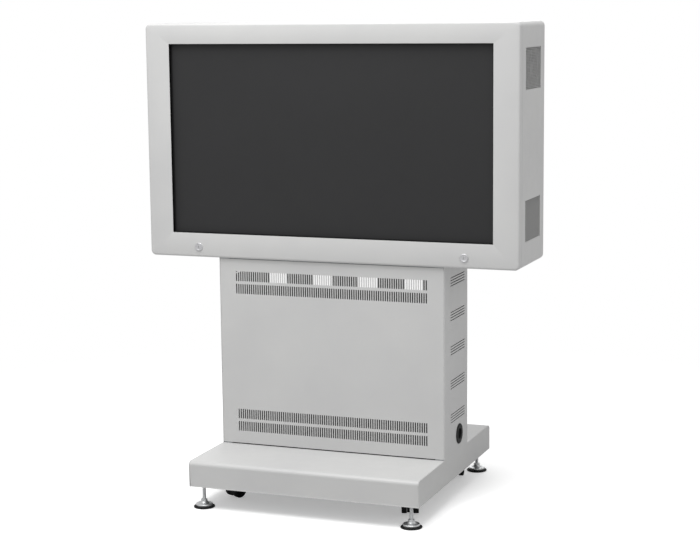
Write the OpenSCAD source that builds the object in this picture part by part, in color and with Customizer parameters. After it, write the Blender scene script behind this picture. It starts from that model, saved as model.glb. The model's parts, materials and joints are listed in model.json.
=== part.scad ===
// Touchscreen kiosk: a display head on a sheet-metal column and a square base.
// Origin: on the floor, under the middle of the base. +X is the visitor's right,
// -Y faces the visitor, +Z is up. Millimetres.

/* [Overall] */
// Width of the display head
head_w = 1330; // [1270:10:1600]
// Height of the display head
head_h = 800; // [770:10:960]
// Depth of the display head, bezel door included
head_d = 305; // [250:5:400]
// Width of the column and the base, over their side plates
body_w = 814; // [670:2:1000]
// Depth of the base
base_d = 815; // [670:5:1000]
// Height of the base casing
base_h = 88; // [73:1:140]
// Height of the base casing's underside above the floor
ground_gap = 76; // [72:1:92]
// Depth of the column
column_d = 260; // [215:5:340]
// Height of the column, from the base's top to the head's underside
column_h = 655; // [540:5:800]
// How far the head's front stands ahead of the column's front
head_lead = 12; // [0:1:40]

/* [Screen] */
// Width of the screen opening
screen_w = 1152; // [960:2:1160]
// Height of the screen opening
screen_h = 648; // [540:2:652]
// Bezel below the screen opening
bezel_bottom = 83; // [75:1:100]
// Thickness of the cover glass
glass_t = 4; // [3:0.5:6]
// Thickness of the display panel
panel_t = 20; // [15:1:30]
// Depth of the display's rear casing
chassis_d = 60; // [40:1:72]
// Depth of the rails that carry the display
rail_d = 40; // [30:1:48]
// Distance of each display rail from the middle
rail_x = 200; // [170:5:260]

/* [Sheet metal] */
// Thickness of the head's and the column's sheet
sheet = 2; // [1.5:0.1:2.4]
// Corner radius of the head, seen from the front
head_r = 18; // [8:1:24]
// Radius of the base's front and rear top edges
edge_r = 14; // [6:1:20]
// Depth of the bezel door, front to back
door_d = 25; // [22:1:28]
// Parting gap between the bezel door and the head shell
door_gap = 2; // [2:0.1:3]
// Width of the turned-in lips
lip_w = 20; // [16:1:24]

/* [Vents] */
// Width of one vent slot in the column panels
slot_w = 4; // [3:0.5:6]
// Distance from slot to slot
slot_pitch = 8; // [7:0.5:16]
// Height of one row of slots
slot_h = 34; // [24:1:40]
// Plain strip between the two rows of a band
row_gap = 10; // [8:1:16]
// Plain margin beside, above and below a band
band_margin = 46; // [40:1:60]
// Plain margin at each end of a band
band_end = 58; // [50:1:80]
// Length of a slot in the column's side plates
side_slot_l = 160; // [120:5:180]
// Distance between the groups of side slots
side_pitch = 117; // [100:1:140]
// Width of a side grille in the head
grille_w = 190; // [150:5:200]
// Height of a side grille in the head
grille_h = 138; // [130:2:170]

/* [Fittings] */
// Height of the bezel locks above the head's underside
lock_h = 35.5; // [34:0.5:40]
// Distance of each bezel lock from the middle
lock_x = 478; // [300:1:560]
// Radius of a cam lock's body
lock_r = 9.5; // [8:0.1:10]
// Bore radius of the cable outlet
outlet_r = 18; // [12:1:22]
// Size of a fan frame
fan_size = 120; // [92:1:126]
// Radius of a castor wheel
wheel_r = 25; // [22:0.5:26]
// Distance of each castor from the base's side
castor_inset_x = 82; // [76:1:120]
// Distance of each castor from the base's front or rear
castor_inset_y = 157.5; // [150:0.5:200]
// Distance of each levelling foot from the base's outside
foot_inset = 37; // [37:1:45]
// Radius of a levelling foot's pad
pad_r = 36; // [28:1:36]
// Radius of a levelling foot's stud
stud_r = 6; // [5:0.5:7]

/* [Fits] */
// Radial clearance of a turning fit
run = 0.05; // [0.02:0.01:0.1]
// Side gap beside a loose panel
panel_gap = 0.5; // [0.3:0.1:1]
// Shadow gap above and below the column's panels
shadow_gap = 3; // [2:0.5:4]
// Gap in front of the touch frame
seal_gap = 0.3; // [0.3:0.1:1]

/* [Hidden] */
$fn = 48;

// Heights
base_top = ground_gap + base_h;
head_z = base_top + column_h;
top_z = head_z + head_h;
screen_z = head_z + bezel_bottom + screen_h / 2;
// Depths
col_y = column_d / 2;
head_y0 = -col_y - head_lead;
head_y1 = head_y0 + head_d;
shell_y0 = head_y0 + door_d + door_gap;
gasket_t = 3;
touch_y = head_y0 + sheet + gasket_t + seal_gap;
touch_d = 12.7;
glass_y = touch_y + touch_d;
panel_y = glass_y + glass_t;
chassis_y = panel_y + panel_t;
rail_y = chassis_y + chassis_d;
rail_w = 60;
rail_t = 3;
rail_top = screen_z + 300;
rail_flange = 15;
rail_foot_l = 60;
rail_foot_z = head_z + sheet + 4;
// Widths
in_x = body_w / 2 - sheet;
panel_w = 2 * (in_x - panel_gap);
band_w = body_w - 2 * band_end;
grille_y = head_y0 + 163;
grille_dz = 152.5;
// How far the screen's layers reach past the opening, and what shows inside it
gasket_over = 14;
gasket_in = 2;
touch_over = 27;
touch_in = 3;
glass_over = 20;
panel_over = 24;
chassis_over = 26;
// Frame members
channel_h = 40;
channel_w = 60;
channel_t = 3;
frame_inset = 7.5;
frame_z = ground_gap + sheet;
frame_top = frame_z + channel_h;
post_w = 30;
post_t = 2;
beam_h = 30;
post_x = in_x - sheet - post_w;
post_y = col_y - sheet - post_w;
// Equipment plate, set in from the column's rear face, with a row of air windows
plate_y = col_y - 117;
plate_t = 2;
window_w = 72;
window_h = 42;
window_pitch = 167;
window_z = head_z - 87;
// Air outlets in the rear door, a little below the windows
outlet_w = 156;
outlet_h = 46;
outlet_pitch = 170;
air_outlet_z = head_z - 106;
// Passage for the cables between the head and the column, from the middle
passage_x = 110;
passage_y = 60;
// Locks
lock_head_r = 14;
lock_head_t = 4;
lock_nut_r = 14;
lock_nut_t = 5;
plug_r = 7;
lock_len = 28;
cam_t = 3;
cam_w = 16;
cam_reach = 22;
rear_lock_x = in_x - lip_w - 40;
rear_lock_z = (base_top + head_z) / 2;
cam_depth = lock_len + 2;
// Hinges
knuckle_gap = 0.5;
knuckle_r = 3.8;
hinge_pin_r = 2;
leaf_t = 2;
bezel_hinge_y = shell_y0 + 3;
bezel_hinge_z = top_z - 4;
bezel_hinge_l = 60;
bezel_knuckle_l = 18;
bezel_leaf_w = 24;
bezel_hinge_x = [-450, 0, 450];
bezel_leaf_z = top_z - sheet - leaf_t - bezel_hinge_z;
rear_hinge_x = -(in_x - lip_w - knuckle_gap);
rear_hinge_y = col_y + 4;
rear_hinge_l = 80;
rear_knuckle_l = 25;
rear_leaf_fixed_w = 19;
rear_leaf_moving_w = 26;
rear_hinge_z = [base_top + 120, head_z - 120];
rear_leaf_t = 1.5;
leaf_clear = 4.4;
// Cable outlet in the right side plate
outlet_y = 33.5;
outlet_z = base_top + 56;
outlet_body_r = outlet_r + 9;
outlet_flange_r = outlet_body_r + 8;
outlet_flange_t = 3;
outlet_in = 12;
// Side slots, in groups down the column
side_slot_h = 3;
side_slot_pitch = 9;
side_slot_rows = 4;
side_vent_y = 18;
side_vent_drop = 60;
side_vent_foot = 100;
side_groups = floor((column_h - side_vent_drop - side_vent_foot) / side_pitch) + 1;
// Fan
grille_t = 1.5;
grille_margin = 5;
grille_pitch = 9;
grille_bar = 3;
fan_d = 25;
fan_x = head_w / 2 - sheet - grille_t - fan_d;
fan_bore_r = fan_size / 2 - 3;
fan_screw_inset = 7.5;
fan_screw_r = 2.2;
hub_r = 20;
hub_t = 5;
spoke_w = 5;
shaft_r = 2;
shaft_l = 20;
rotor_h = 15.5;
blades = 7;
blade_w = 21;
blade_t = 1.6;
blade_pitch = 35;
// Feet and castors
foot_x = body_w / 2 - foot_inset;
foot_y = base_d / 2 - foot_inset;
pad_h = 11;
pad_chamfer = 4;
cone_h = 15;
neck_h = 4;
neck_r = 9;
bush_r = 13;
bush_h = 34;
stud_spare = 26;
foot_nut_h = 6;
// Corners in the order front left, front right, rear left, rear right
corners = [[-1, -1], [1, -1], [-1, 1], [1, 1]];
castor_x = body_w / 2 - castor_inset_x;
castor_y = base_d / 2 - castor_inset_y;
castor_turn = [62, 109, 75, 100];
castor_clear = 4;
castor_top = frame_z;
castor_plate_w = 60;
castor_plate_t = 3;
race_h = 8;
race_r = 23;
race_gap = 0.5;
king_r = 5;
trail = 20;
wheel_t = 18;
wheel_gap = 22;
wheel_z = castor_clear + wheel_r;
axle_r = 4;
axle_l = wheel_gap + 2 * wheel_t;
web_t = wheel_gap - 1;
fender_r = wheel_r + 1.5;
fender_t = 2;
hood_top = castor_top - castor_plate_t - race_h - race_gap;
pedal_x = -4;
pedal_z = hood_top - 18.5;
pedal_pin_r = 2;
barrel_r = 4.5;
barrel_l = 13.6;
ear_t = 3;
pedal_l = 30;
pedal_w = 30;
pedal_t = 3.5;

// Colours
paint = [0.78, 0.78, 0.77];
steel = [0.62, 0.63, 0.64];
zinc = [0.75, 0.76, 0.78];
dark = [0.12, 0.12, 0.13];
black = [0.05, 0.05, 0.05];

// Flat outline with round corners, centred on X, from 0 up to h
module round_rect(w, h, r) {
    translate([-w / 2 + r, 0]) square([w - 2 * r, h]);
    translate([-w / 2, r]) square([w, h - 2 * r]);
    for (sx = [-1, 1], sy = [0, 1])
        translate([sx * (w / 2 - r), sy == 0 ? r : h - r]) circle(r);
}

// Stands a flat outline up in XZ, from y0 to y1
module upright(y0, y1) {
    translate([0, y1, 0]) rotate([90, 0, 0]) linear_extrude(y1 - y0) children();
}

// Stands a flat outline up in YZ, from x0 to x1
module sideways(x0, x1) {
    translate([x0, 0, 0]) rotate([90, 0, 90]) linear_extrude(x1 - x0) children();
}

// A block given by its lowest and highest corners
module block(a, b) {
    translate(a) cube(b - a);
}

// Flat outline of the screen opening, grown by m
module screen_rect(m) {
    translate([0, screen_z]) square([screen_w + 2 * m, screen_h + 2 * m], center = true);
}

// Upright ring around the screen opening: inner margin, outer margin
module screen_ring(y0, y1, inner, outer) {
    upright(y0, y1) difference() {
        screen_rect(outer);
        screen_rect(inner);
    }
}

// Two rows of upright slots, the top of the band at z
module vent_band(z, width) {
    count = floor((width - slot_w) / slot_pitch);
    for (i = [0:count], row = [0, 1])
        translate([(i - count / 2) * slot_pitch - slot_w / 2, z - slot_h - row * (slot_h + row_gap)])
            square([slot_w, slot_h]);
}

// Heights of the top band's and the bottom band's upper edge
top_band_z = head_z - band_margin;
bottom_band_z = base_top + band_margin + 2 * slot_h + row_gap;

// ---------------------------------------------------------------- base

// Plan of the frame's channels, grown or shrunk by m
module channel_plan(m) {
    for (s = [-1, 1]) {
        translate([0, s * (base_d / 2 - frame_inset - channel_w / 2)])
            square([2 * in_x + (m < 0 ? 2 : 0), channel_w + 2 * m], center = true);
        translate([s * castor_x, 0])
            square([channel_w + 2 * m, base_d - 2 * frame_inset - 2 * channel_w + 2 * channel_t + 2],
                center = true);
        translate([0, s * (post_y + post_w / 2)])
            square([2 * in_x + (m < 0 ? 2 : 0), channel_h + 2 * m], center = true);
    }
}

module base_frame() color(steel) difference() {
    union() {
        difference() {
            translate([0, 0, frame_z]) linear_extrude(channel_h) channel_plan(0);
            translate([0, 0, frame_z + channel_t]) linear_extrude(channel_h) channel_plan(-channel_t);
        }
        for (sx = [-1, 1], sy = [-1, 1])
            translate([sx * foot_x, sy * foot_y, frame_z]) cylinder(r = bush_r, h = bush_h);
    }
    for (sx = [-1, 1], sy = [-1, 1])
        translate([sx * foot_x, sy * foot_y, frame_z - 1]) cylinder(r = stud_r + run, h = bush_h + 2);
}

// Side view of a bent cover, its outer corner at the base's front top edge
module cover_profile() {
    d = base_d / 2;
    end_y = col_y - sheet + 0.3;
    difference() {
        union() {
            translate([edge_r, 0]) square([d - end_y - edge_r, base_h]);
            square([edge_r * 2, base_h - edge_r]);
            translate([edge_r, base_h - edge_r]) circle(edge_r);
        }
        translate([edge_r, sheet]) square([d - end_y - edge_r - sheet, base_h - 2 * sheet]);
        translate([sheet, sheet]) square([edge_r * 2, base_h - sheet - edge_r]);
        translate([edge_r, base_h - edge_r]) circle(edge_r - sheet);
        translate([lip_w, -1]) square([d, base_h - sheet - lip_w + 1]);
    }
}

module base_cover() color(paint)
    translate([0, -base_d / 2, ground_gap]) sideways(-panel_w / 2, panel_w / 2) cover_profile();

module base_cover_front() base_cover();
module base_cover_rear() mirror([0, 1, 0]) base_cover();

// Outline of a side plate: the base's side and the column's side in one sheet
module side_outline() {
    d = base_d / 2;
    translate([-d, ground_gap]) square([base_d, base_h - edge_r]);
    translate([-d + edge_r, ground_gap]) square([base_d - 2 * edge_r, base_h]);
    for (s = [-1, 1])
        translate([s * (d - edge_r), base_top - edge_r]) circle(edge_r);
    translate([-col_y, base_top - 1]) square([column_d, column_h + 1]);
}

module side_slots() {
    middle = (side_slot_rows - 1) / 2;
    for (g = [0:side_groups - 1], i = [0:side_slot_rows - 1])
        translate([side_vent_y - side_slot_l / 2,
            head_z - side_vent_drop - g * side_pitch + (i - middle) * side_slot_pitch - side_slot_h / 2])
            square([side_slot_l, side_slot_h]);
}

module side_plate(with_outlet) color(paint) {
    sideways(in_x, body_w / 2) difference() {
        side_outline();
        side_slots();
        if (with_outlet)
            translate([outlet_y, outlet_z]) circle(outlet_body_r + 0.3);
    }
    block([in_x - lip_w, col_y - sheet, base_top + shadow_gap], [in_x + 0.5, col_y, head_z - shadow_gap]);
}

module side_plate_left() mirror([1, 0, 0]) side_plate(false);
module side_plate_right() side_plate(true);

// ---------------------------------------------------------------- column

// Upright square tube with open ends
module post(x, y) {
    translate([x, y, frame_top]) difference() {
        cube([post_w, post_w, head_z - frame_top]);
        translate([post_t, post_t, -1]) cube([post_w - 2 * post_t, post_w - 2 * post_t, column_h * 2]);
    }
}

module column_frame() color(steel) {
    for (sx = [-1, 1], sy = [-1, 1])
        post(sx > 0 ? post_x : -post_x - post_w, sy > 0 ? post_y : -post_y - post_w);
    // front and rear top angles
    for (s = [-1, 1]) {
        y = s > 0 ? post_y : -post_y - post_w;
        block([-post_x, y, head_z - post_t], [post_x, y + post_w, head_z]);
        y_web = s > 0 ? post_y : -post_y - post_t;
        block([-post_x, y_web, head_z - beam_h], [post_x, y_web + post_t, head_z]);
    }
    // side rails at the top and just above the base frame
    for (s = [-1, 1], z = [head_z - beam_h, frame_top]) {
        x = s > 0 ? post_x : -post_x - post_t;
        block([x, -post_y, z], [x + post_t, post_y, z + beam_h]);
    }
    // carriers under the display rails
    for (s = [-1, 1])
        block([s * rail_x - post_w / 2, -post_y - 1, head_z - beam_h + 4],
            [s * rail_x + post_w / 2, post_y + 1, head_z]);
    // keeper of the rear door's lock
    keeper_y = col_y - cam_depth + 1;
    block([rear_lock_x + 15, keeper_y, rear_lock_z - 12], [post_x + 1, keeper_y + 2, rear_lock_z + 12]);
}

module column_front_panel() color(paint)
    upright(-col_y, -col_y + sheet) difference() {
        translate([-panel_w / 2, base_top + shadow_gap]) square([panel_w, column_h - 2 * shadow_gap]);
        vent_band(top_band_z, band_w);
        vent_band(bottom_band_z, band_w);
    }

// Upright plate in the middle of the column; equipment hangs on its rear face
module equipment_plate() color(dark)
    upright(plate_y, plate_y + plate_t) difference() {
        translate([-post_x, frame_top + 4]) square([2 * post_x, head_z - frame_top - 8]);
        for (i = [-1.5:1:1.5])
            translate([i * window_pitch, window_z]) square([window_w, window_h], center = true);
        // notches around the display carriers and under the cable passage
        for (s = [-1, 1])
            translate([s * rail_x - post_w / 2 - 1, head_z - beam_h + 3]) square([post_w + 2, beam_h]);
        translate([-passage_x - 5, head_z - beam_h]) square([2 * passage_x + 10, beam_h]);
    }

computer_size = [260, 44, 220];
computer_pos = [-post_x + 93, plate_y + plate_t, base_top + 180];
computer_slot = [6, 7, 140];
computer_slot_pitch = 12;
computer_slot_at = [30, computer_size[1] - 6, 40];
module computer_case() color(dark) translate(computer_pos) difference() {
    cube(computer_size);
    // cooling slots in the rear face
    for (i = [0:8])
        translate(computer_slot_at + [i * computer_slot_pitch, 0, 0]) cube(computer_slot);
}

strip_size = [360, 45, 45];
strip_pos = [post_x - 33 - strip_size[0], plate_y + plate_t, base_top + 76];
socket_r = 17;
socket_pitch = 48;
socket_d = 12;
socket_x = 75;
rocker_x = 30;
rocker_t = 9;
rocker_w = 18;
rocker_h = 20;
rocker_pin_r = 1.5;
rocker_tilt = 8;
rocker_axis = strip_pos + [rocker_x, strip_size[1] - 3, strip_size[2] / 2];
module power_strip() color(dark) difference() {
    translate(strip_pos) cube(strip_size);
    // pocket of the rocker and the holes of its pivot
    translate(rocker_axis) cube([rocker_w + 1, 2 * rocker_t, rocker_h + 4], center = true);
    translate(rocker_axis - [rocker_w / 2 + 3, 0, 0]) rotate([0, 90, 0])
        cylinder(r = rocker_pin_r + run, h = rocker_w + 6);
    // sockets
    for (i = [0:5])
        translate(strip_pos + [socket_x + i * socket_pitch, strip_size[1] - socket_d, strip_size[2] / 2])
            rotate([-90, 0, 0]) cylinder(r = socket_r, h = socket_d + 1);
}

module power_switch() color(black) translate(rocker_axis) rotate([rocker_tilt, 0, 0]) {
    cube([rocker_w, rocker_t, rocker_h], center = true);
    translate([-rocker_w / 2 - 2.5, 0, 0]) rotate([0, 90, 0])
        cylinder(r = rocker_pin_r, h = rocker_w + 5);
}

module cable_outlet() color(black) translate([0, outlet_y, outlet_z]) rotate([0, 90, 0]) difference() {
    union() {
        translate([0, 0, in_x - outlet_in]) cylinder(r = outlet_body_r, h = outlet_in + sheet + 1);
        translate([0, 0, body_w / 2]) cylinder(r = outlet_flange_r, h = outlet_flange_t);
    }
    translate([0, 0, in_x - outlet_in - 1]) cylinder(r = outlet_r, h = outlet_in * 2);
}

// ---------------------------------------------------------------- rear door

rear_door_w = 2 * (in_x - lip_w - 1);
module rear_door() color(paint)
    upright(col_y - sheet, col_y) difference() {
        translate([-rear_door_w / 2, base_top + shadow_gap])
            square([rear_door_w, column_h - 2 * shadow_gap]);
        vent_band(bottom_band_z, band_w - 2 * lip_w - 12);
        for (i = [-1.5:1:1.5])
            translate([i * outlet_pitch, air_outlet_z]) square([outlet_w, outlet_h], center = true);
        translate([rear_lock_x, rear_lock_z]) circle(lock_r + 0.2);
    }

// One hinge leaf with its knuckles, along +Z from 0, the leaf towards +X at y0.
// middle: the knuckle is the one between the other leaf's two.
module leaf(length, end_l, leaf_w, y0, t, middle) {
    mid_l = length - 2 * end_l;
    difference() {
        union() {
            translate([leaf_clear, y0, 0]) cube([leaf_w - leaf_clear, t, length]);
            if (middle)
                translate([0, y0, end_l + knuckle_gap / 2]) cube([leaf_w, t, mid_l - knuckle_gap]);
            else
                for (z = [0, length - end_l + knuckle_gap / 2])
                    translate([0, y0, z]) cube([leaf_w, t, end_l - knuckle_gap / 2]);
            if (middle)
                translate([0, 0, end_l + knuckle_gap / 2]) cylinder(r = knuckle_r, h = mid_l - knuckle_gap);
            else
                for (z = [0, length - end_l + knuckle_gap / 2])
                    translate([0, 0, z]) cylinder(r = knuckle_r, h = end_l - knuckle_gap / 2);
        }
        translate([0, 0, -1]) cylinder(r = hinge_pin_r + run, h = length + 2);
    }
}

module rear_hinge_fixed() color(steel)
    for (z = rear_hinge_z)
        translate([rear_hinge_x, rear_hinge_y, z - rear_hinge_l / 2]) mirror([1, 0, 0])
            leaf(rear_hinge_l, rear_knuckle_l, rear_leaf_fixed_w, col_y - rear_hinge_y, rear_leaf_t, false);

module rear_hinge_moving() color(steel)
    for (z = rear_hinge_z)
        translate([rear_hinge_x, rear_hinge_y, z - rear_hinge_l / 2])
            leaf(rear_hinge_l, rear_knuckle_l, rear_leaf_moving_w, col_y - rear_hinge_y, rear_leaf_t, true);

// ---------------------------------------------------------------- locks

// Lock parts stand on their sheet's outer face, which is z = 0, and point out along +Z.
module lock_barrel() difference() {
    union() {
        translate([0, 0, -lock_len]) cylinder(r = lock_r, h = lock_len + 1);
        cylinder(r = lock_head_r, h = lock_head_t - 1);
        translate([0, 0, lock_head_t - 1]) cylinder(r1 = lock_head_r, r2 = lock_head_r - 2, h = 1);
    }
    translate([0, 0, -lock_len - 1]) cylinder(r = plug_r + run, h = lock_len + lock_head_t + 2);
}

module lock_nut() translate([0, 0, -sheet - lock_nut_t]) difference() {
    cylinder(r = lock_nut_r, h = lock_nut_t, $fn = 6);
    translate([0, 0, -1]) cylinder(r = lock_r + run, h = lock_nut_t + 2);
}

module lock_plug() difference() {
    translate([0, 0, -cam_depth]) cylinder(r = plug_r, h = cam_depth + lock_head_t - 0.5);
    translate([0, 0, lock_head_t]) cube([1.4, 8, 14], center = true);
}

// The cam reaches along +X
module lock_cam() translate([0, 0, -cam_depth - cam_t]) {
    cylinder(r = cam_w / 2, h = cam_t);
    translate([0, -cam_w / 2, 0]) cube([cam_reach, cam_w, cam_t]);
}

// Puts a lock on the bezel (s = -1 left, 1 right)
module at_bezel_lock(s) translate([s * lock_x, head_y0, head_z + lock_h]) rotate([90, 0, 0]) children();
module at_rear_lock() translate([rear_lock_x, col_y, rear_lock_z]) rotate([-90, 0, 0]) children();

module lock_barrels() color(zinc)
    for (s = [-1, 1])
        at_bezel_lock(s) {
            lock_barrel();
            lock_nut();
        }
module lock_plug_left() color(zinc) at_bezel_lock(-1) lock_plug();
module lock_plug_right() color(zinc) at_bezel_lock(1) lock_plug();
module lock_cam_left() color(steel) at_bezel_lock(-1) lock_cam();
module lock_cam_right() color(steel) at_bezel_lock(1) rotate([0, 0, 180]) lock_cam();
module rear_lock_barrel() color(zinc) at_rear_lock() {
    lock_barrel();
    lock_nut();
}
module rear_lock_plug() color(zinc) at_rear_lock() lock_plug();
module rear_lock_cam() color(steel) at_rear_lock() rotate([0, 0, 90]) lock_cam();

// ---------------------------------------------------------------- head

// Places a flat outline at each side grille's centre, in a YZ sheet
module at_grilles_yz() {
    for (z = [head_z + grille_dz, top_z - grille_dz])
        translate([grille_y, z]) children();
}

module head_shell() color(paint) difference() {
    union() {
        upright(shell_y0, head_y1) translate([0, head_z]) difference() {
            round_rect(head_w, head_h, head_r);
            translate([0, sheet]) round_rect(head_w - 2 * sheet, head_h - 2 * sheet, head_r - sheet);
        }
        // front and rear lips
        for (y = [shell_y0, head_y1 - 2 * sheet])
            upright(y, y + sheet) translate([0, head_z]) difference() {
                translate([0, sheet / 2]) round_rect(head_w - sheet, head_h - sheet, head_r - sheet / 2);
                translate([-head_w / 2 + sheet + lip_w, sheet + lip_w])
                    square([head_w - 2 * sheet - 2 * lip_w, head_h - 2 * sheet - 2 * lip_w]);
            }
    }
    // side openings for the grilles
    for (s = [0, 1])
        mirror([s, 0, 0]) sideways(head_w / 2 - sheet - 1, head_w / 2 + 1)
            at_grilles_yz() square([grille_w, grille_h], center = true);
    // notches over the hinge knuckles
    for (x = bezel_hinge_x)
        block([x - bezel_hinge_l / 2 - 1, shell_y0 - 1, top_z - sheet - lip_w - 1],
            [x + bezel_hinge_l / 2 + 1, bezel_hinge_y + knuckle_r + 0.7, top_z + 1]);
    // passage for the cables, down into the column
    block([-passage_x, -passage_y, head_z - 1], [passage_x, passage_y, head_z + sheet + 1]);
}

rear_screw_r = 2.5;
rear_screw_x = head_w / 2 - sheet - lip_w / 2;
rear_screw_z = head_h / 2 - sheet - lip_w / 2;
rear_screw_spots = [for (sx = [-1, 0, 1], sz = [-1, 0, 1]) if (sx != 0 || sz != 0)
    [sx * rear_screw_x, head_z + head_h / 2 + sz * rear_screw_z]];
// Rear panel slots: two blocks of rows, each row a pair
rear_slot_l = 320;
rear_slot_h = 7;
rear_slot_pitch = 16;
rear_slot_x = 250;
rear_slot_rows = 9;
rear_slot_blocks = [head_z + 110, top_z - 250];
rear_panel_w = head_w - 2 * sheet - 2 * panel_gap;
rear_panel_h = head_h - 2 * sheet - 2 * panel_gap;
rear_screw_head_r = 5;
rear_screw_head_h = 2.6;
rear_screw_key_r = 1.8;

module head_rear_panel() color(paint)
    upright(head_y1 - sheet, head_y1) difference() {
        translate([0, head_z + sheet + panel_gap])
            round_rect(rear_panel_w, rear_panel_h, head_r - sheet);
        // two blocks of long slots, low and high
        for (z0 = rear_slot_blocks, i = [0:rear_slot_rows - 1], s = [-1, 1])
            translate([s * rear_slot_x - rear_slot_l / 2, z0 + i * rear_slot_pitch])
                square([rear_slot_l, rear_slot_h]);
        for (p = rear_screw_spots)
            translate(p) circle(rear_screw_r + 0.2);
    }

module rear_panel_screws() color(zinc)
    for (p = rear_screw_spots)
        translate([p[0], head_y1, p[1]]) rotate([-90, 0, 0]) {
            translate([0, 0, -sheet]) cylinder(r = rear_screw_r, h = sheet + 0.5);
            difference() {
                cylinder(r = rear_screw_head_r, h = rear_screw_head_h);
                translate([0, 0, 1]) cylinder(r = rear_screw_key_r, h = rear_screw_head_h, $fn = 6);
            }
        }

// Flat grille plate, its mesh coarsened to rows of three openings
module grille() difference() {
    square([grille_w + 2 * grille_margin, grille_h + 2 * grille_margin], center = true);
    rows = floor((grille_h - 8) / grille_pitch);
    for (i = [0:rows - 1], c = [-1, 0, 1])
        translate([c * grille_w / 3, (i - (rows - 1) / 2) * grille_pitch])
            square([grille_w / 3 - grille_bar * 2, grille_pitch - grille_bar], center = true);
}

module side_grilles() color(paint)
    for (s = [0, 1])
        mirror([s, 0, 0]) sideways(head_w / 2 - sheet - grille_t, head_w / 2 - sheet)
            at_grilles_yz() grille();

// Puts a fan, whose axis is +Z, behind an upper side grille: side 0 is the right, side 1 the left
module at_fan(side)
    mirror([side, 0, 0]) translate([fan_x, grille_y, top_z - grille_dz]) rotate([0, 90, 0]) children();

module fan_frame() {
    screw_at = fan_size / 2 - fan_screw_inset;
    difference() {
        translate([-fan_size / 2, -fan_size / 2, 0]) cube([fan_size, fan_size, fan_d]);
        translate([0, 0, -1]) cylinder(r = fan_bore_r, h = fan_d + 2);
        for (sx = [-1, 1], sy = [-1, 1])
            translate([sx * screw_at, sy * screw_at, -1]) cylinder(r = fan_screw_r, h = fan_d + 2);
    }
    cylinder(r = hub_r, h = hub_t);
    cylinder(r = shaft_r, h = shaft_l);
    for (a = [0:90:270])
        rotate([0, 0, a + 45]) translate([hub_r - 2, -spoke_w / 2, 0])
            cube([fan_bore_r - hub_r + 4, spoke_w, hub_t - 1]);
}
module fan_frames() color(black) for (side = [0, 1]) at_fan(side) fan_frame();

// Blade of length l along +X from its root, its section centred
module cube_from_root(l, w, t) translate([0, -w / 2, -t / 2]) cube([l, w, t]);

module fan_rotor() difference() {
    union() {
        translate([0, 0, hub_t + 1]) cylinder(r = hub_r - 0.5, h = rotor_h);
        for (a = [0:360 / blades:359])
            rotate([0, 0, a]) translate([hub_r - 3, 0, hub_t + 1 + rotor_h / 2]) rotate([blade_pitch, 0, 0])
                cube_from_root(fan_bore_r - hub_r - 0.5, blade_w, blade_t);
    }
    cylinder(r = shaft_r + run, h = shaft_l + 0.5);
}
module fan_rotor_left() color(black) at_fan(1) fan_rotor();
module fan_rotor_right() color(black) at_fan(0) fan_rotor();

// Display rails: channels that stand on the head's floor and carry the display
module display_rails() color(steel)
    for (s = [-1, 1]) {
        x0 = s * rail_x - rail_w / 2;
        x1 = s * rail_x + rail_w / 2;
        difference() {
            block([x0, rail_y, head_z + sheet], [x1, rail_y + rail_d, rail_top]);
            block([x0 + rail_t, rail_y + rail_t, rail_foot_z],
                [x1 - rail_t, rail_y + rail_d + 1, rail_top + 1]);
        }
        block([x0 - rail_flange, rail_y, head_z + sheet],
            [x1 + rail_flange, rail_y + rail_d + rail_foot_l, rail_foot_z]);
    }

module display_chassis() color(steel)
    difference() {
        upright(chassis_y, rail_y) screen_rect(chassis_over);
        upright(chassis_y - 1, rail_y - sheet) screen_rect(chassis_over - sheet);
    }

module display_panel() color(black) upright(panel_y, chassis_y) screen_rect(panel_over);

module cover_glass() color([0.1, 0.1, 0.11]) upright(glass_y, panel_y) screen_rect(glass_over);

module touch_frame() color(black) screen_ring(touch_y, glass_y, touch_in, touch_over);

// ---------------------------------------------------------------- bezel door

module bezel_frame() color(paint) difference() {
    upright(head_y0, head_y0 + door_d) translate([0, head_z]) round_rect(head_w, head_h, head_r);
    upright(head_y0 + sheet, head_y0 + door_d + 1) translate([0, head_z + sheet])
        round_rect(head_w - 2 * sheet, head_h - 2 * sheet, head_r - sheet);
    upright(head_y0 - 1, head_y0 + sheet + 1) screen_rect(0);
    for (s = [-1, 1])
        translate([s * lock_x, head_y0 + sheet + 1, head_z + lock_h]) rotate([90, 0, 0])
            cylinder(r = lock_r + 0.2, h = sheet + 2);
}

module bezel_gasket() color(black)
    screen_ring(head_y0 + sheet, head_y0 + sheet + gasket_t, gasket_in, gasket_over);

// A bezel hinge leaf lies along X, its plate level, above the axis
module at_bezel_hinge(x) translate([x - bezel_hinge_l / 2, bezel_hinge_y, bezel_hinge_z]) children();

module bezel_hinge_fixed() color(steel)
    for (x = bezel_hinge_x)
        at_bezel_hinge(x) rotate([90, 0, 90])
            leaf(bezel_hinge_l, bezel_knuckle_l, bezel_leaf_w, bezel_leaf_z, leaf_t, false);

module bezel_hinge_moving() color(steel)
    for (x = bezel_hinge_x)
        at_bezel_hinge(x) rotate([90, 0, 90]) mirror([1, 0, 0])
            leaf(bezel_hinge_l, bezel_knuckle_l, bezel_leaf_w, bezel_leaf_z, leaf_t, true);

module hinge_pins() color(zinc) {
    for (x = bezel_hinge_x)
        at_bezel_hinge(x) rotate([0, 90, 0]) cylinder(r = hinge_pin_r, h = bezel_hinge_l);
    for (z = rear_hinge_z)
        translate([rear_hinge_x, rear_hinge_y, z - rear_hinge_l / 2])
            cylinder(r = hinge_pin_r, h = rear_hinge_l);
}

// ---------------------------------------------------------------- feet

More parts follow.
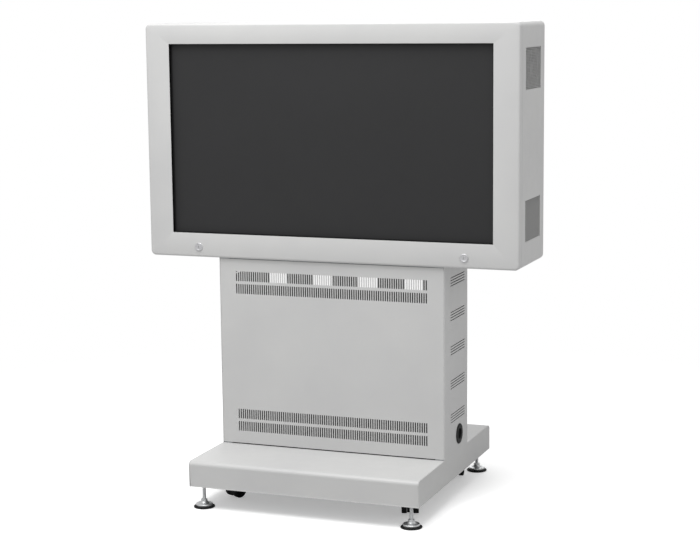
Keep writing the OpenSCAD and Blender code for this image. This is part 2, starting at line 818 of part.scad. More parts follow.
module foot_stud() {
    neck_z = pad_h + cone_h + neck_h;
    translate([0, 0, pad_h]) cylinder(r1 = pad_r - 12, r2 = neck_r, h = cone_h);
    translate([0, 0, pad_h + cone_h]) cylinder(r = neck_r, h = neck_h);
    translate([0, 0, neck_z]) cylinder(r = stud_r, h = frame_z + bush_h + stud_spare - neck_z);
}

module foot_pad() {
    cylinder(r = pad_r, h = pad_h - pad_chamfer);
    translate([0, 0, pad_h - pad_chamfer]) cylinder(r1 = pad_r, r2 = pad_r - pad_chamfer, h = pad_chamfer);
}

module at_foot(i) translate([corners[i][0] * foot_x, corners[i][1] * foot_y, 0]) children();

module foot_stud_fl() color(zinc) at_foot(0) foot_stud();
module foot_stud_fr() color(zinc) at_foot(1) foot_stud();
module foot_stud_rl() color(zinc) at_foot(2) foot_stud();
module foot_stud_rr() color(zinc) at_foot(3) foot_stud();
module foot_pad_fl() color(black) at_foot(0) foot_pad();
module foot_pad_fr() color(black) at_foot(1) foot_pad();
module foot_pad_rl() color(black) at_foot(2) foot_pad();
module foot_pad_rr() color(black) at_foot(3) foot_pad();

module foot_lock_nuts() color(zinc)
    for (i = [0:3])
        at_foot(i) translate([0, 0, frame_z + bush_h]) difference() {
            cylinder(r = stud_r * 1.75, h = foot_nut_h, $fn = 6);
            translate([0, 0, -1]) cylinder(r = stud_r + run, h = foot_nut_h + 2);
        }

// ---------------------------------------------------------------- castors

// Puts a castor at its corner, swivelled; its own frame trails along +X, its axle along Y
module at_castor(i)
    translate([corners[i][0] * castor_x, corners[i][1] * castor_y, 0])
        rotate([0, 0, castor_turn[i]]) children();

module castor_plates() color(zinc)
    for (i = [0:3])
        translate([corners[i][0] * castor_x, corners[i][1] * castor_y, 0]) difference() {
            union() {
                translate([-castor_plate_w / 2, -castor_plate_w / 2, castor_top - castor_plate_t])
                    cube([castor_plate_w, castor_plate_w, castor_plate_t]);
                translate([0, 0, castor_top - castor_plate_t - race_h]) cylinder(r = race_r, h = race_h + 1);
            }
            translate([0, 0, castor_top - 20]) cylinder(r = king_r + run, h = 30);
        }

// Body between the two wheels, with a fender over them and, on a braked castor, the pedal's ears
module castor_hood(with_pedal) difference() {
    union() {
        translate([0, 0, hood_top - 4]) cylinder(r = race_r - 3, h = 4);
        translate([0, 0, hood_top - 1]) cylinder(r = king_r, h = castor_top - hood_top + race_gap);
        upright(-web_t / 2, web_t / 2) {
            translate([trail, wheel_z]) circle(wheel_r - 3);
            polygon([[-12, hood_top - 3], [trail + 14, hood_top - 3], [trail + 21, wheel_z + 4],
                [trail - 20, wheel_z + 4], [6, hood_top - 14], [6, hood_top - 10], [-12, hood_top - 10]]);
        }
        upright(-axle_l / 2, axle_l / 2) translate([trail, wheel_z]) difference() {
            circle(fender_r + fender_t);
            circle(fender_r);
            translate([-40, -40]) square([80, 44]);
            translate([-40, 0]) square([28, 40]);
        }
        if (with_pedal) {
            for (y = [-web_t / 2, web_t / 2 - ear_t])
                block([-10, y, pedal_z - 5], [7, y + ear_t, hood_top - 9]);
            translate([pedal_x, web_t / 2, pedal_z]) rotate([90, 0, 0]) cylinder(r = pedal_pin_r, h = web_t);
        }
    }
    translate([trail, axle_l, wheel_z]) rotate([90, 0, 0]) cylinder(r = axle_r + run, h = 2 * axle_l);
}

// Half outline of the wheel pair, from the outer face's centre in to the axle
wheel_half = [[0, axle_l / 2], [wheel_r - 7, axle_l / 2], [wheel_r - 3, axle_l / 2 - 0.6],
    [wheel_r, axle_l / 2 - 4], [wheel_r, wheel_gap / 2 + 2], [wheel_r - 2, wheel_gap / 2],
    [axle_r, wheel_gap / 2]];

// Two wheels pressed on one axle
module castor_wheel() translate([trail, 0, wheel_z]) rotate([90, 0, 0]) rotate_extrude()
    polygon(concat(wheel_half, [for (i = [len(wheel_half) - 1:-1:0]) [wheel_half[i][0], -wheel_half[i][1]]]));

module brake_pedal() translate([pedal_x, 0, pedal_z]) difference() {
    union() {
        rotate([90, 0, 0]) cylinder(r = barrel_r, h = barrel_l, center = true);
        block([-10, -barrel_l / 2, -1], [0, barrel_l / 2, pedal_t - 1]);
        block([-pedal_l, -pedal_w / 2, -1], [-8, pedal_w / 2, pedal_t - 1]);
        block([-pedal_l, -pedal_w / 2, -5], [3 - pedal_l, pedal_w / 2, 0]);
    }
    rotate([90, 0, 0]) cylinder(r = pedal_pin_r + run, h = 40, center = true);
}

module castor_hood_fl() color(black) at_castor(0) castor_hood(true);
module castor_hood_fr() color(black) at_castor(1) castor_hood(true);
module castor_hood_rl() color(black) at_castor(2) castor_hood(false);
module castor_hood_rr() color(black) at_castor(3) castor_hood(false);
module castor_wheel_fl() color(black) at_castor(0) castor_wheel();
module castor_wheel_fr() color(black) at_castor(1) castor_wheel();
module castor_wheel_rl() color(black) at_castor(2) castor_wheel();
module castor_wheel_rr() color(black) at_castor(3) castor_wheel();
module brake_pedal_fl() color(black) at_castor(0) brake_pedal();
module brake_pedal_fr() color(black) at_castor(1) brake_pedal();

base_frame();
base_cover_front();
base_cover_rear();
side_plate_left();
side_plate_right();
column_frame();
column_front_panel();
equipment_plate();
computer_case();
power_strip();
power_switch();
cable_outlet();
rear_door();
rear_hinge_fixed();
rear_hinge_moving();
rear_lock_barrel();
rear_lock_plug();
rear_lock_cam();
head_shell();
head_rear_panel();
rear_panel_screws();
side_grilles();
fan_frames();
fan_rotor_left();
fan_rotor_right();
display_rails();
display_chassis();
display_panel();
cover_glass();
touch_frame();
bezel_frame();
bezel_gasket();
bezel_hinge_fixed();
bezel_hinge_moving();
hinge_pins();
lock_barrels();
lock_plug_left();
lock_plug_right();
lock_cam_left();
lock_cam_right();
foot_stud_fl();
foot_stud_fr();
foot_stud_rl();
foot_stud_rr();
foot_pad_fl();
foot_pad_fr();
foot_pad_rl();
foot_pad_rr();
foot_lock_nuts();
castor_plates();
castor_hood_fl();
castor_hood_fr();
castor_hood_rl();
castor_hood_rr();
castor_wheel_fl();
castor_wheel_fr();
castor_wheel_rl();
castor_wheel_rr();
brake_pedal_fl();
brake_pedal_fr();
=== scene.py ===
# %% [markdown]
# # Touchscreen kiosk
# A display head of painted sheet steel stands on a vented column and a square base.
# The CAD model fixes every size and every joint. This file gives it its looks: fine
# edges, threads, mesh, moulded parts, and a finish for each material.
# The first step loads that model, and each later piece takes its place and its outer
# size from it. The lengths that an outer size cannot tell, such as the pitch of a thread
# or the length of one hinge out of three, are named in the step that uses them.

# %% Load the fixed frame
import json
import math

import bmesh
import bpy
import numpy as np
from mathutils import Matrix, Vector


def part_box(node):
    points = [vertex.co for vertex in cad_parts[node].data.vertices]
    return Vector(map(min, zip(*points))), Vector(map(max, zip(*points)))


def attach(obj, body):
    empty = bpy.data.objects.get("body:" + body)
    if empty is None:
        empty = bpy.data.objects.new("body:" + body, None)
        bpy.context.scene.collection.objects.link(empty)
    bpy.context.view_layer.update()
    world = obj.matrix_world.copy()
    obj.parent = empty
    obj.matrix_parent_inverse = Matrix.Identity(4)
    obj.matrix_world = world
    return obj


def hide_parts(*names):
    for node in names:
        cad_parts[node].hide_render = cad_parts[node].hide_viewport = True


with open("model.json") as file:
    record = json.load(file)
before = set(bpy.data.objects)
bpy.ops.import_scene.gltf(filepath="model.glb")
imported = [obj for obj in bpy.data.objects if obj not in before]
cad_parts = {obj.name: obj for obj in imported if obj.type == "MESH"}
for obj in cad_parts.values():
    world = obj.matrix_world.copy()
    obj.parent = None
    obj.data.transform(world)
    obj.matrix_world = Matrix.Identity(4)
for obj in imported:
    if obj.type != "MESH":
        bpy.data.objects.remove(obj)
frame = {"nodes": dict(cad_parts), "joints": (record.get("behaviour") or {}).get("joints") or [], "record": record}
nodes = frame["nodes"]
body_of_node = {n: b for b, ns in frame["record"]["behaviour"]["bodies"].items() for n in ns}
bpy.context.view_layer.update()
MM = 0.001

# %% [markdown]
# ## The camera
# The view is a three-quarter one from the visitor's right, at about eye height, a good
# five metres away with a short telephoto lens. A long distance keeps the upright edges
# nearly parallel, as in a catalogue picture. The three turns are applied in a camera's
# own order: heading about Z, dip about the sideways axis, then the small roll.

# %% Camera
EYE = (2.114, -5.504, 1.662)
HEADING, DIP, ROLL = math.radians(20.78), math.radians(8.67), math.radians(-0.58)
LENS = 89.0

camera = bpy.data.objects.new("camera", bpy.data.cameras.new("camera"))
bpy.context.scene.collection.objects.link(camera)
bpy.context.scene.camera = camera
camera.data.lens = LENS
camera.matrix_world = (
    Matrix.Translation(EYE)
    @ Matrix.Rotation(HEADING, 4, "Z")
    @ Matrix.Rotation(math.pi / 2 - DIP, 4, "X")
    @ Matrix.Rotation(ROLL, 4, "Z")
)
print("camera", LENS, "mm at", EYE)

# %% [markdown]
# ## Nodes and colours
# A material is a small graph of nodes. One function adds a node, sets its values and
# wires its inputs, which keeps each finish down to a few readable lines. Colours are
# written as hex codes, the way a designer notes them, and turned to linear light here.

# %% Node and colour helpers
def hue(code, alpha=1.0):
    """Hex sRGB to linear light: divide by 12.92 below 0.04045, else ((c + 0.055) / 1.055) ** 2.4."""
    c = np.array([int(code[i:i + 2], 16) for i in (1, 3, 5)]) / 255
    linear = np.where(c <= 0.04045, c / 12.92, ((c + 0.055) / 1.055) ** 2.4)
    return (*linear.tolist(), alpha)


def add(tree, kind, values=None, links=None, **settings):
    """Adds one node: settings are its properties, values its unlinked inputs, links its wired ones."""
    made = tree.nodes.new(kind)
    for key, value in settings.items():
        setattr(made, key, value)
    for key, value in (values or {}).items():
        made.inputs[key].default_value = value
    for key, socket in (links or {}).items():
        tree.links.new(socket, made.inputs[key])
    return made


def blank(name, **values):
    """A new material with one Principled shader: returns the material, its tree and the shader."""
    made = bpy.data.materials.new(name)
    made.use_nodes = True
    shader = made.node_tree.nodes["Principled BSDF"]
    for key, value in values.items():
        shader.inputs[key.replace("_", " ")].default_value = value
    return made, made.node_tree, shader


def grain(tree, size_mm, stretch=(1, 1, 1), detail=2.0, rough=0.5):
    """Noise on the object's own coordinates, one lump about size_mm across, stretched along an axis."""
    place = add(tree, "ShaderNodeTexCoord")
    turn = add(tree, "ShaderNodeMapping", {"Scale": stretch}, {"Vector": place.outputs["Object"]})
    return add(tree, "ShaderNodeTexNoise",
               {"Scale": 1 / (size_mm * MM), "Detail": detail, "Roughness": rough},
               {"Vector": turn.outputs["Vector"]}).outputs["Fac"]


def spread(tree, source, low, high, start=0.3, end=0.7):
    """Maps a 0..1 pattern between start and end onto the range low..high."""
    return add(tree, "ShaderNodeMapRange",
               {"From Min": start, "From Max": end, "To Min": low, "To Max": high},
               {"Value": source}).outputs["Result"]


def two_tone(tree, source, dark, light, start=0.3, end=0.7):
    """Colours a 0..1 pattern from one hex colour to another."""
    ramp = add(tree, "ShaderNodeValToRGB", links={"Fac": source})
    ramp.color_ramp.elements[0].position, ramp.color_ramp.elements[1].position = start, end
    ramp.color_ramp.elements[0].color, ramp.color_ramp.elements[1].color = hue(dark), hue(light)
    return ramp.outputs["Color"]


def bumps(tree, shader, height, depth_mm, strength=1.0):
    """Feeds a height pattern into the shader's normal; depth_mm is the height of the full pattern."""
    made = add(tree, "ShaderNodeBump",
               {"Strength": strength, "Distance": depth_mm * MM}, {"Height": height})
    tree.links.new(made.outputs["Normal"], shader.inputs["Normal"])


def drive(tree, shader, **links):
    """Wires patterns into the shader: Base_Color=..., Roughness=..."""
    for key, socket in links.items():
        tree.links.new(socket, shader.inputs[key.replace("_", " ")])


print("helpers ready")

# %% [markdown]
# ## Finishes
# The cabinet is powder coated: a polymer powder baked on steel. Up close it has a soft
# orange-peel relief a millimetre or two across, and its gloss varies a little from place
# to place. That relief is too fine to see from here, so it is drawn coarser, about four
# millimetres across, which still breaks up the highlights along the edges.

# %% Powder coat, light grey
def powder_coat(name, dark, light, gloss=(0.32, 0.42), peel=0.03):
    made, tree, shader = blank(name, IOR=1.5)
    mottle = grain(tree, 260, detail=4)
    drive(tree, shader, Base_Color=two_tone(tree, mottle, dark, light),
          Roughness=spread(tree, grain(tree, 40, detail=3), *gloss))
    bumps(tree, shader, grain(tree, 4, detail=1), peel, 0.35)
    return made


light_grey = powder_coat("powder_coat_light_grey", "#c9c9c9", "#cfcfce")
dark_grey = powder_coat("powder_coat_dark_grey", "#242526", "#2b2c2d", (0.5, 0.62))
black_coat = powder_coat("black_coated_steel", "#101011", "#17171a", (0.38, 0.5))
print("powder coats:", light_grey.name, dark_grey.name, black_coat.name)

# %% [markdown]
# Hot-dip galvanised sheet shows zinc crystals, called spangle, 5 to 15 mm across. Each
# crystal reflects in its own direction, so Voronoi cells give the colour and the gloss.

# %% Galvanised sheet
SPANGLE = 9   # mm across one zinc crystal


def galvanised(name):
    made, tree, shader = blank(name, Metallic=1.0)
    place = add(tree, "ShaderNodeTexCoord")
    cells = add(tree, "ShaderNodeTexVoronoi", {"Scale": 1 / (SPANGLE * MM), "Randomness": 1.0},
                {"Vector": place.outputs["Object"]})
    tone = add(tree, "ShaderNodeSeparateColor", links={"Color": cells.outputs["Color"]}).outputs["Red"]
    drive(tree, shader, Base_Color=two_tone(tree, tone, "#a4a8ab", "#c1c4c6", 0, 1),
          Roughness=spread(tree, tone, 0.34, 0.52, 0, 1))
    bumps(tree, shader, grain(tree, 1.5), 0.02, 0.3)
    return made


sheet_zinc = galvanised("galvanised_sheet")
print("galvanised:", sheet_zinc.name)

# %% [markdown]
# Turned and plated parts are smoother. Zinc plate is bluish and slightly cloudy, and the
# lock faces are nickel chrome with a soft satin. Both get faint scratches: noise that is
# pulled out long in one direction reads as a fine brushed grain.

# %% Plated metals
def plated(name, dark, light, gloss, scratch=(1, 1, 12)):
    made, tree, shader = blank(name, Metallic=1.0)
    drive(tree, shader, Base_Color=two_tone(tree, grain(tree, 14, detail=3), dark, light),
          Roughness=spread(tree, grain(tree, 3, scratch), *gloss))
    bumps(tree, shader, grain(tree, 1.2, scratch, 1), 0.01, 0.25)
    return made


zinc = plated("zinc_plate", "#d6d8da", "#eceded", (0.38, 0.52))
satin = plated("satin_chrome", "#d8d8da", "#e6e6e8", (0.36, 0.46), (12, 1, 12))
print("plated:", zinc.name, satin.name)

# %% [markdown]
# Rubber and moulded plastic differ in their skin. Moulded parts have a spark-eroded grain
# of about half a millimetre, drawn here at just under one so that it can be seen. Rubber
# is duller, and dust sits in it, so its colour is lifted unevenly. Foam is open pores:
# Voronoi cells pressed inwards, each darkened towards its hollow middle by painted shade.

# %% Plastics, rubber, foam
PORE = 1.6   # mm across one pore of the foam


def moulded(name, dark, light, gloss, grain_mm=0.9, relief=0.04):
    made, tree, shader = blank(name, IOR=1.46, Specular_IOR_Level=0.35)
    drive(tree, shader, Base_Color=two_tone(tree, grain(tree, 30, detail=3), dark, light),
          Roughness=spread(tree, grain(tree, 12), *gloss))
    bumps(tree, shader, grain(tree, grain_mm, detail=0), relief, 0.4)
    return made


def foam(name):
    made, tree, shader = blank(name, Roughness=0.95, IOR=1.4)
    place = add(tree, "ShaderNodeTexCoord")
    cells = add(tree, "ShaderNodeTexVoronoi", {"Scale": 1 / (PORE * MM)},
                {"Vector": place.outputs["Object"]})
    # painted shade: each pore's colour darkens towards its middle, where the bump makes it hollow
    drive(tree, shader, Base_Color=two_tone(tree, cells.outputs["Distance"], "#08080a", "#1a1a1c", 0, 0.6))
    bumps(tree, shader, cells.outputs["Distance"], 0.4, 0.6)
    return made


plastic = moulded("black_abs", "#09090a", "#111113", (0.5, 0.65))
pad_rubber = moulded("black_rubber", "#0d0d0e", "#19191a", (0.6, 0.8), 1.4, 0.08)
tyre_rubber = moulded("castor_rubber", "#131314", "#202021", (0.5, 0.7), 1.2, 0.06)
pore = foam("black_foam")
anodised = plated("black_anodised", "#0c0c0d", "#161618", (0.35, 0.5), (1, 12, 1))
print("moulded:", plastic.name, pad_rubber.name, tyre_rubber.name, pore.name)

# %% [markdown]
# The cover glass is bonded to a panel that is switched off, so the eye sees one dark,
# low-glare surface with a black printed border. Etching leaves the front slightly rough,
# and the reflections spread out. The border is found by how far a point is inside the
# glass's own outline, which the Object coordinates give in metres.

# %% Cover glass and panel
GLASS_HIDDEN = 20   # mm of glass behind the bezel, on each side
PRINT_IN = 3        # mm of black print that shows inside the opening
PANEL_RIM = 12      # mm of dark rim round the panel's picture
PRINT_EDGE = 1      # mm over which the print fades into the clear glass


def box_mm(node):
    """Lowest and highest corner of a CAD node, in millimetres."""
    low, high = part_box(node)
    return np.array(low) / MM, np.array(high) / MM


def cover_finish(name, node, inset_mm):
    """The border is where max(|x - middle| - half width, |z - middle| - half height) > -inset."""
    made, tree, shader = blank(name, IOR=1.5, Specular_IOR_Level=0.4)
    low, high = box_mm(node)
    split = add(tree, "ShaderNodeSeparateXYZ",
                links={"Vector": add(tree, "ShaderNodeTexCoord").outputs["Object"]})
    past = []
    for axis, i in (("X", 0), ("Z", 2)):
        middle, half = (low[i] + high[i]) / 2 * MM, (high[i] - low[i]) / 2 * MM
        off = add(tree, "ShaderNodeMath", {1: middle}, {0: split.outputs[axis]}, operation="SUBTRACT")
        size = add(tree, "ShaderNodeMath", links={0: off.outputs[0]}, operation="ABSOLUTE")
        beyond = add(tree, "ShaderNodeMath", {1: half}, {0: size.outputs[0]}, operation="SUBTRACT")
        past.append(beyond.outputs[0])
    edge = add(tree, "ShaderNodeMath", links={0: past[0], 1: past[1]}, operation="MAXIMUM").outputs[0]
    border = spread(tree, edge, 0, 1, -(inset_mm + PRINT_EDGE) * MM, -inset_mm * MM)
    field = two_tone(tree, grain(tree, 300), "#272728", "#29292a")
    mixed = add(tree, "ShaderNodeMix", {7: hue("#131314")}, {0: border, 6: field}, data_type="RGBA")
    drive(tree, shader, Base_Color=mixed.outputs[2],
          Roughness=spread(tree, grain(tree, 60), 0.56, 0.62))
    bumps(tree, shader, grain(tree, 1.5, detail=0), 0.01, 0.15)
    return made


touch_glass = cover_finish("etched_touch_glass", "cover_glass", GLASS_HIDDEN + PRINT_IN)
lcd = cover_finish("lcd_panel", "display_panel", PANEL_RIM)
print("glass:", touch_glass.name, lcd.name)

# %% [markdown]
# ## Surfaces from arrays
# Each new piece is one or more grids of points worked out with numpy. A grid has two
# directions, such as round a lathe and along its profile. Either may close on itself.
# All lengths below are in millimetres, as on a drawing, and one function turns them to
# metres, welds the seams and poles, and turns every closed skin's faces outwards.

# %% Grid, lathe, sweep and build
def net(points, wrap_u=False, wrap_v=False):
    """Points of a grid (rows, columns, 3) with a quad between each point and its next neighbours."""
    rows, columns = points.shape[:2]
    index = np.arange(rows * columns).reshape(rows, columns)
    if wrap_u:
        index = np.vstack([index, index[:1]])
    if wrap_v:
        index = np.hstack([index, index[:, :1]])
    quads = np.stack([index[:-1, :-1], index[1:, :-1], index[1:, 1:], index[:-1, 1:]], -1)
    return points.reshape(-1, 3), quads.reshape(-1, 4)


def aim(part, axis, centre):
    """Turns a shape made round Z to another axis by moving x, y, z along in turn, then places it."""
    points, quads = part
    shift = {"Z": 0, "X": 1, "Y": 2}[axis]
    return np.roll(points, shift, axis=1) + np.array(centre), quads


def lathe(profile, axis="Z", centre=(0, 0, 0), sides=64, wrap=False, wobble=None):
    """x = r cos a, y = r sin a, z = h for each (r, h) of the profile and each angle a round the axis."""
    r, h = np.array(profile, float).T
    a = np.linspace(0, 2 * math.pi, sides, endpoint=False)
    r = np.broadcast_to(r[:, None], (len(r), sides))
    if wobble is not None:
        r = wobble(r, h[:, None], a[None, :])
    points = np.stack([r * np.cos(a), r * np.sin(a), np.broadcast_to(h[:, None], r.shape)], -1)
    return aim(net(points, wrap_u=wrap, wrap_v=True), axis, centre)


def arc(centre, radius, start, end, steps=6):
    """Points of a circle's arc: centre + radius (cos t, sin t), t from start to end in degrees."""
    t = np.radians(np.linspace(start, end, steps))
    return np.stack([centre[0] + radius * np.cos(t), centre[1] + radius * np.sin(t)], -1)


def build(name, parts, material, closed=True, flat=False):
    """Joins grids into one object: millimetres to metres, doubles welded, closed skins turned outwards."""
    starts = np.cumsum([0] + [len(points) for points, _ in parts[:-1]])
    points = np.concatenate([points for points, _ in parts]) * MM
    quads = np.concatenate([quads + s for (_, quads), s in zip(parts, starts)])
    mesh = bpy.data.meshes.new(name)
    mesh.vertices.add(len(points))
    mesh.vertices.foreach_set("co", points.astype(np.float32).ravel())
    mesh.loops.add(quads.size)
    mesh.loops.foreach_set("vertex_index", quads.astype(np.int32).ravel())
    mesh.polygons.add(len(quads))
    mesh.polygons.foreach_set("loop_start", np.arange(0, quads.size, 4, dtype=np.int32))
    mesh.update(calc_edges=True)
    skin = bmesh.new()
    skin.from_mesh(mesh)
    bmesh.ops.remove_doubles(skin, verts=skin.verts, dist=1e-6)
    bmesh.ops.delete(skin, geom=[v for v in skin.verts if not v.link_faces], context="VERTS")
    if closed:
        bmesh.ops.recalc_face_normals(skin, faces=skin.faces)
    skin.to_mesh(mesh)
    skin.free()
    mesh.polygons.foreach_set("use_smooth", np.full(len(mesh.polygons), not flat))
    mesh.materials.append(material)
    made = bpy.data.objects.new(name, mesh)
    bpy.context.scene.collection.objects.link(made)
    return made


def soften(piece, edge_mm, steps=2, angle=35):
    """Rounds every edge sharper than angle, and keeps the flats flat in the shading."""
    rounding = piece.modifiers.new("edge", "BEVEL")
    rounding.width, rounding.segments = edge_mm * MM, steps
    rounding.limit_method, rounding.angle_limit = "ANGLE", math.radians(angle)
    rounding.harden_normals = True
    rounding.use_clamp_overlap = True
    return piece


def wall(piece, thick_mm):
    """Gives an open skin its sheet thickness, behind its outer face."""
    sheet = piece.modifiers.new("sheet", "SOLIDIFY")
    sheet.thickness, sheet.offset, sheet.use_even_offset = thick_mm * MM, -1, True
    return piece


def stand_for(piece, *cad_nodes):
    """The piece is shown instead of these CAD nodes, and moves with the first of them."""
    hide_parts(*cad_nodes)
    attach(piece, body_of_node[cad_nodes[0]])
    return piece


print("surface tools ready")

# %% [markdown]
# ## Pieces whose CAD shape is already right
# A laser-cut panel, a bent bracket or a hinge leaf needs no new shape. What it lacks is
# the fine roundness that every real edge has, which is what catches the light. The CAD
# mesh is loose triangles, so a copy is welded, its flat faces are joined again, and a
# bevel rounds what is left. The CAD's own object stays as it is, hidden.

# %% Welded and softened copies
FACET = 60             # mm2: smaller faces belong to a round and are shaded smooth, larger ones are flats
WELD = 0.01            # mm: corners nearer than this are one corner
FLAT = math.radians(0.4)   # faces that turn by less than this are one flat


def dress(node, material, edge_mm, steps=2):
    """A copy of a CAD node: corners within 0.01 mm welded, flats joined, edges rounded."""
    skin = bmesh.new()
    skin.from_mesh(nodes[node].data)
    bmesh.ops.remove_doubles(skin, verts=skin.verts, dist=WELD * MM)
    bmesh.ops.dissolve_limit(skin, angle_limit=FLAT, verts=skin.verts, edges=skin.edges)
    mesh = bpy.data.meshes.new(node + "_skin")
    skin.to_mesh(mesh)
    skin.free()
    area = np.zeros(len(mesh.polygons))
    mesh.polygons.foreach_get("area", area)
    mesh.polygons.foreach_set("use_smooth", area < FACET * MM ** 2)
    mesh.materials.clear()
    mesh.materials.append(material)
    piece = bpy.data.objects.new(node + "_skin", mesh)
    bpy.context.scene.collection.objects.link(piece)
    return stand_for(soften(piece, edge_mm, steps), node)


cut_sheet = {
    "side_plate_left": light_grey, "side_plate_right": light_grey,
    "column_front_panel": light_grey, "rear_door": light_grey, "head_rear_panel": light_grey,
    "equipment_plate": dark_grey, "computer_case": dark_grey,
    "base_frame": sheet_zinc, "column_frame": sheet_zinc, "display_rails": sheet_zinc,
    "display_chassis": sheet_zinc,
    "rear_hinge_fixed": zinc, "rear_hinge_moving": zinc, "bezel_hinge_fixed": zinc,
    "bezel_hinge_moving": zinc, "hinge_pins": zinc, "castor_plates": zinc,
    "rear_lock_cam": zinc, "lock_cam_left": zinc, "lock_cam_right": zinc,
    "rear_panel_screws": zinc,
    "cover_glass": touch_glass, "display_panel": lcd, "touch_frame": anodised, "bezel_gasket": pore,
    "power_strip": plastic, "power_switch": plastic, "fan_frames": plastic,
}
EDGE, HOOD_EDGE, PEDAL_EDGE = 0.4, 0.9, 0.8
for node, finish in cut_sheet.items():
    dress(node, finish, EDGE)
CORNERS = ("fl", "fr", "rl", "rr")
for corner in CORNERS:
    dress("castor_hood_" + corner, black_coat, HOOD_EDGE, 3)
for corner in ("fl", "fr"):
    dress("brake_pedal_" + corner, black_coat, PEDAL_EDGE)
print("softened", len(cut_sheet) + 6, "CAD shapes, most edges", EDGE, "mm")

# %% [markdown]
# ## The bezel door
# The front is a shallow tray pressed from 2 mm sheet, with a rectangular opening. The
# bend rounds its rim by 8 mm, and that soft line of light all round the front is what
# makes it look like bent metal and not like a block. A loft suits it: the same rounded
# rectangle, resized and moved back step by step along the tray's section.

# %% Rounded rectangles and the bezel
CORNER_R = 18
SHEET = 2
BEND_R = 8
OPENING_R = 1.2   # the opening's corners
BURR_R = 0.6      # the round of the opening's edge


def rounded_loop(half_w, half_h, radius, middle, y, steps=10):
    """Four quarter circles of that radius, centred radius inside each corner, round (middle x, z)."""
    t = np.linspace(0, math.pi / 2, steps)
    quarter = [t + k * math.pi / 2 for k in range(4)]
    signs = np.array([[1, 1], [-1, 1], [-1, -1], [1, -1]])
    x = np.concatenate([s[0] * (half_w - radius) + radius * np.cos(q) for s, q in zip(signs, quarter)])
    z = np.concatenate([s[1] * (half_h - radius) + radius * np.sin(q) for s, q in zip(signs, quarter)])
    return np.stack([x + middle[0], np.full_like(x, y), z + middle[1]], -1)


def tray(node):
    """Loops along the section: rear edge, side wall, bend, front face, opening's edge, and back inside."""
    low, high = box_mm(node)
    glass_low, glass_high = box_mm("cover_glass")
    half, middle = (high - low) / 2, (high + low) / 2
    open_half = (glass_high - glass_low) / 2 - GLASS_HIDDEN
    open_mid = (glass_high + glass_low) / 2
    outer_bend = arc((BEND_R, BEND_R), BEND_R, 180, 270)
    inner_bend = arc((BEND_R, BEND_R), BEND_R - SHEET, 270, 180, 4)
    edge = arc((0, BURR_R), BURR_R, -90, 0, 4)

    def outline(inset, deep):
        return rounded_loop(half[0] - inset, half[2] - inset, max(CORNER_R - inset, 1),
                            middle[[0, 2]], low[1] + deep)

    def opening(grow, deep):
        return rounded_loop(open_half[0] + grow, open_half[2] + grow, OPENING_R,
                            open_mid[[0, 2]], low[1] + deep)

    loops = [outline(inset, deep) for inset, deep in [(0, high[1] - low[1]), *outer_bend]]
    loops += [opening(BURR_R - g, d) for g, d in edge]
    loops += [opening(0, SHEET)]
    loops += [outline(inset, deep) for inset, deep in [*inner_bend, (SHEET, high[1] - low[1])]]
    return net(np.array(loops), wrap_u=True, wrap_v=True)


bezel = soften(build("bezel_door_pressing", [tray("bezel_frame")], light_grey), 0.3, 1, 60)
stand_for(bezel, "bezel_frame")
print("bezel door:", len(bezel.data.polygons), "faces")

# %% [markdown]
# ## The head shell
# Behind the door is a wrapped band of the same sheet, with a turned-in lip at the front
# and the rear, two grille openings in each side, notches over the hinge knuckles and a
# hole in the floor for the cables. It is made as one skin: the rounded rectangle again,
# but with extra points where an opening starts or ends, so an opening is just the cells
# that are left out. Solidify then gives the skin its 2 mm.

# %% Head shell
LIP = 22
PLATE_MARGIN = 5      # how far a grille plate reaches past its opening
LIP_BEND_R = 2.5
low, high = box_mm("head_shell")
plate_low, plate_high = box_mm("side_grilles")
hinge_low, hinge_high = box_mm("bezel_hinge_fixed")
GRILLE_H = 138
grille_y = (plate_low[1] + PLATE_MARGIN, plate_high[1] - PLATE_MARGIN)
grille_z = [(plate_low[2] + PLATE_MARGIN, plate_low[2] + PLATE_MARGIN + GRILLE_H),
            (plate_high[2] - PLATE_MARGIN - GRILLE_H, plate_high[2] - PLATE_MARGIN)]
HINGE_L = 60
NOTCH_GAP = 1         # beside a hinge, on each side
NOTCH_DEEP = 8.3      # from the front of the hinges to the notch's end
hinge_x = np.array([hinge_low[0] + HINGE_L / 2, 0, hinge_high[0] - HINGE_L / 2])
NOTCH_Y = hinge_low[1] + NOTCH_DEEP
PASSAGE = (110, 60)   # half the cable hole, along X and Y
FAR = 1e4             # past the whole head


def cut_loop(half_w, half_h, radius, middle, y, z_cuts, x_cuts, steps=8):
    """A rounded rectangle with extra points on its sides: z_cuts on the uprights, x_cuts on the levels."""
    t = np.linspace(0, math.pi / 2, steps)
    sides = []
    for k, (sx, sz) in enumerate([(1, 1), (-1, 1), (-1, -1), (1, -1)]):
        q = t + k * math.pi / 2
        sides.append(np.stack([sx * (half_w - radius) + radius * np.cos(q) + middle[0],
                               sz * (half_h - radius) + radius * np.sin(q) + middle[1]], -1))
        if k % 2 == 0:
            cuts = np.array(x_cuts[::-1] if sz > 0 else x_cuts)
            sides.append(np.stack([cuts, np.full(len(cuts), middle[1] + sz * half_h)], -1))
        else:
            cuts = np.array(z_cuts[::-1] if sx < 0 else z_cuts)
            sides.append(np.stack([np.full(len(cuts), middle[0] + sx * half_w), cuts], -1))
    flat = np.concatenate(sides)
    return np.stack([flat[:, 0], np.full(len(flat), y), flat[:, 1]], -1)


def leave_out(part, openings):
    """Drops each face whose middle lies in one of the openings, given as (low, high) corners."""
    points, quads = part
    middles = points[quads].mean(1)
    out = np.zeros(len(quads), bool)
    for a, b in openings:
        out |= ((middles > a) & (middles < b)).all(1)
    return points, quads[~out]


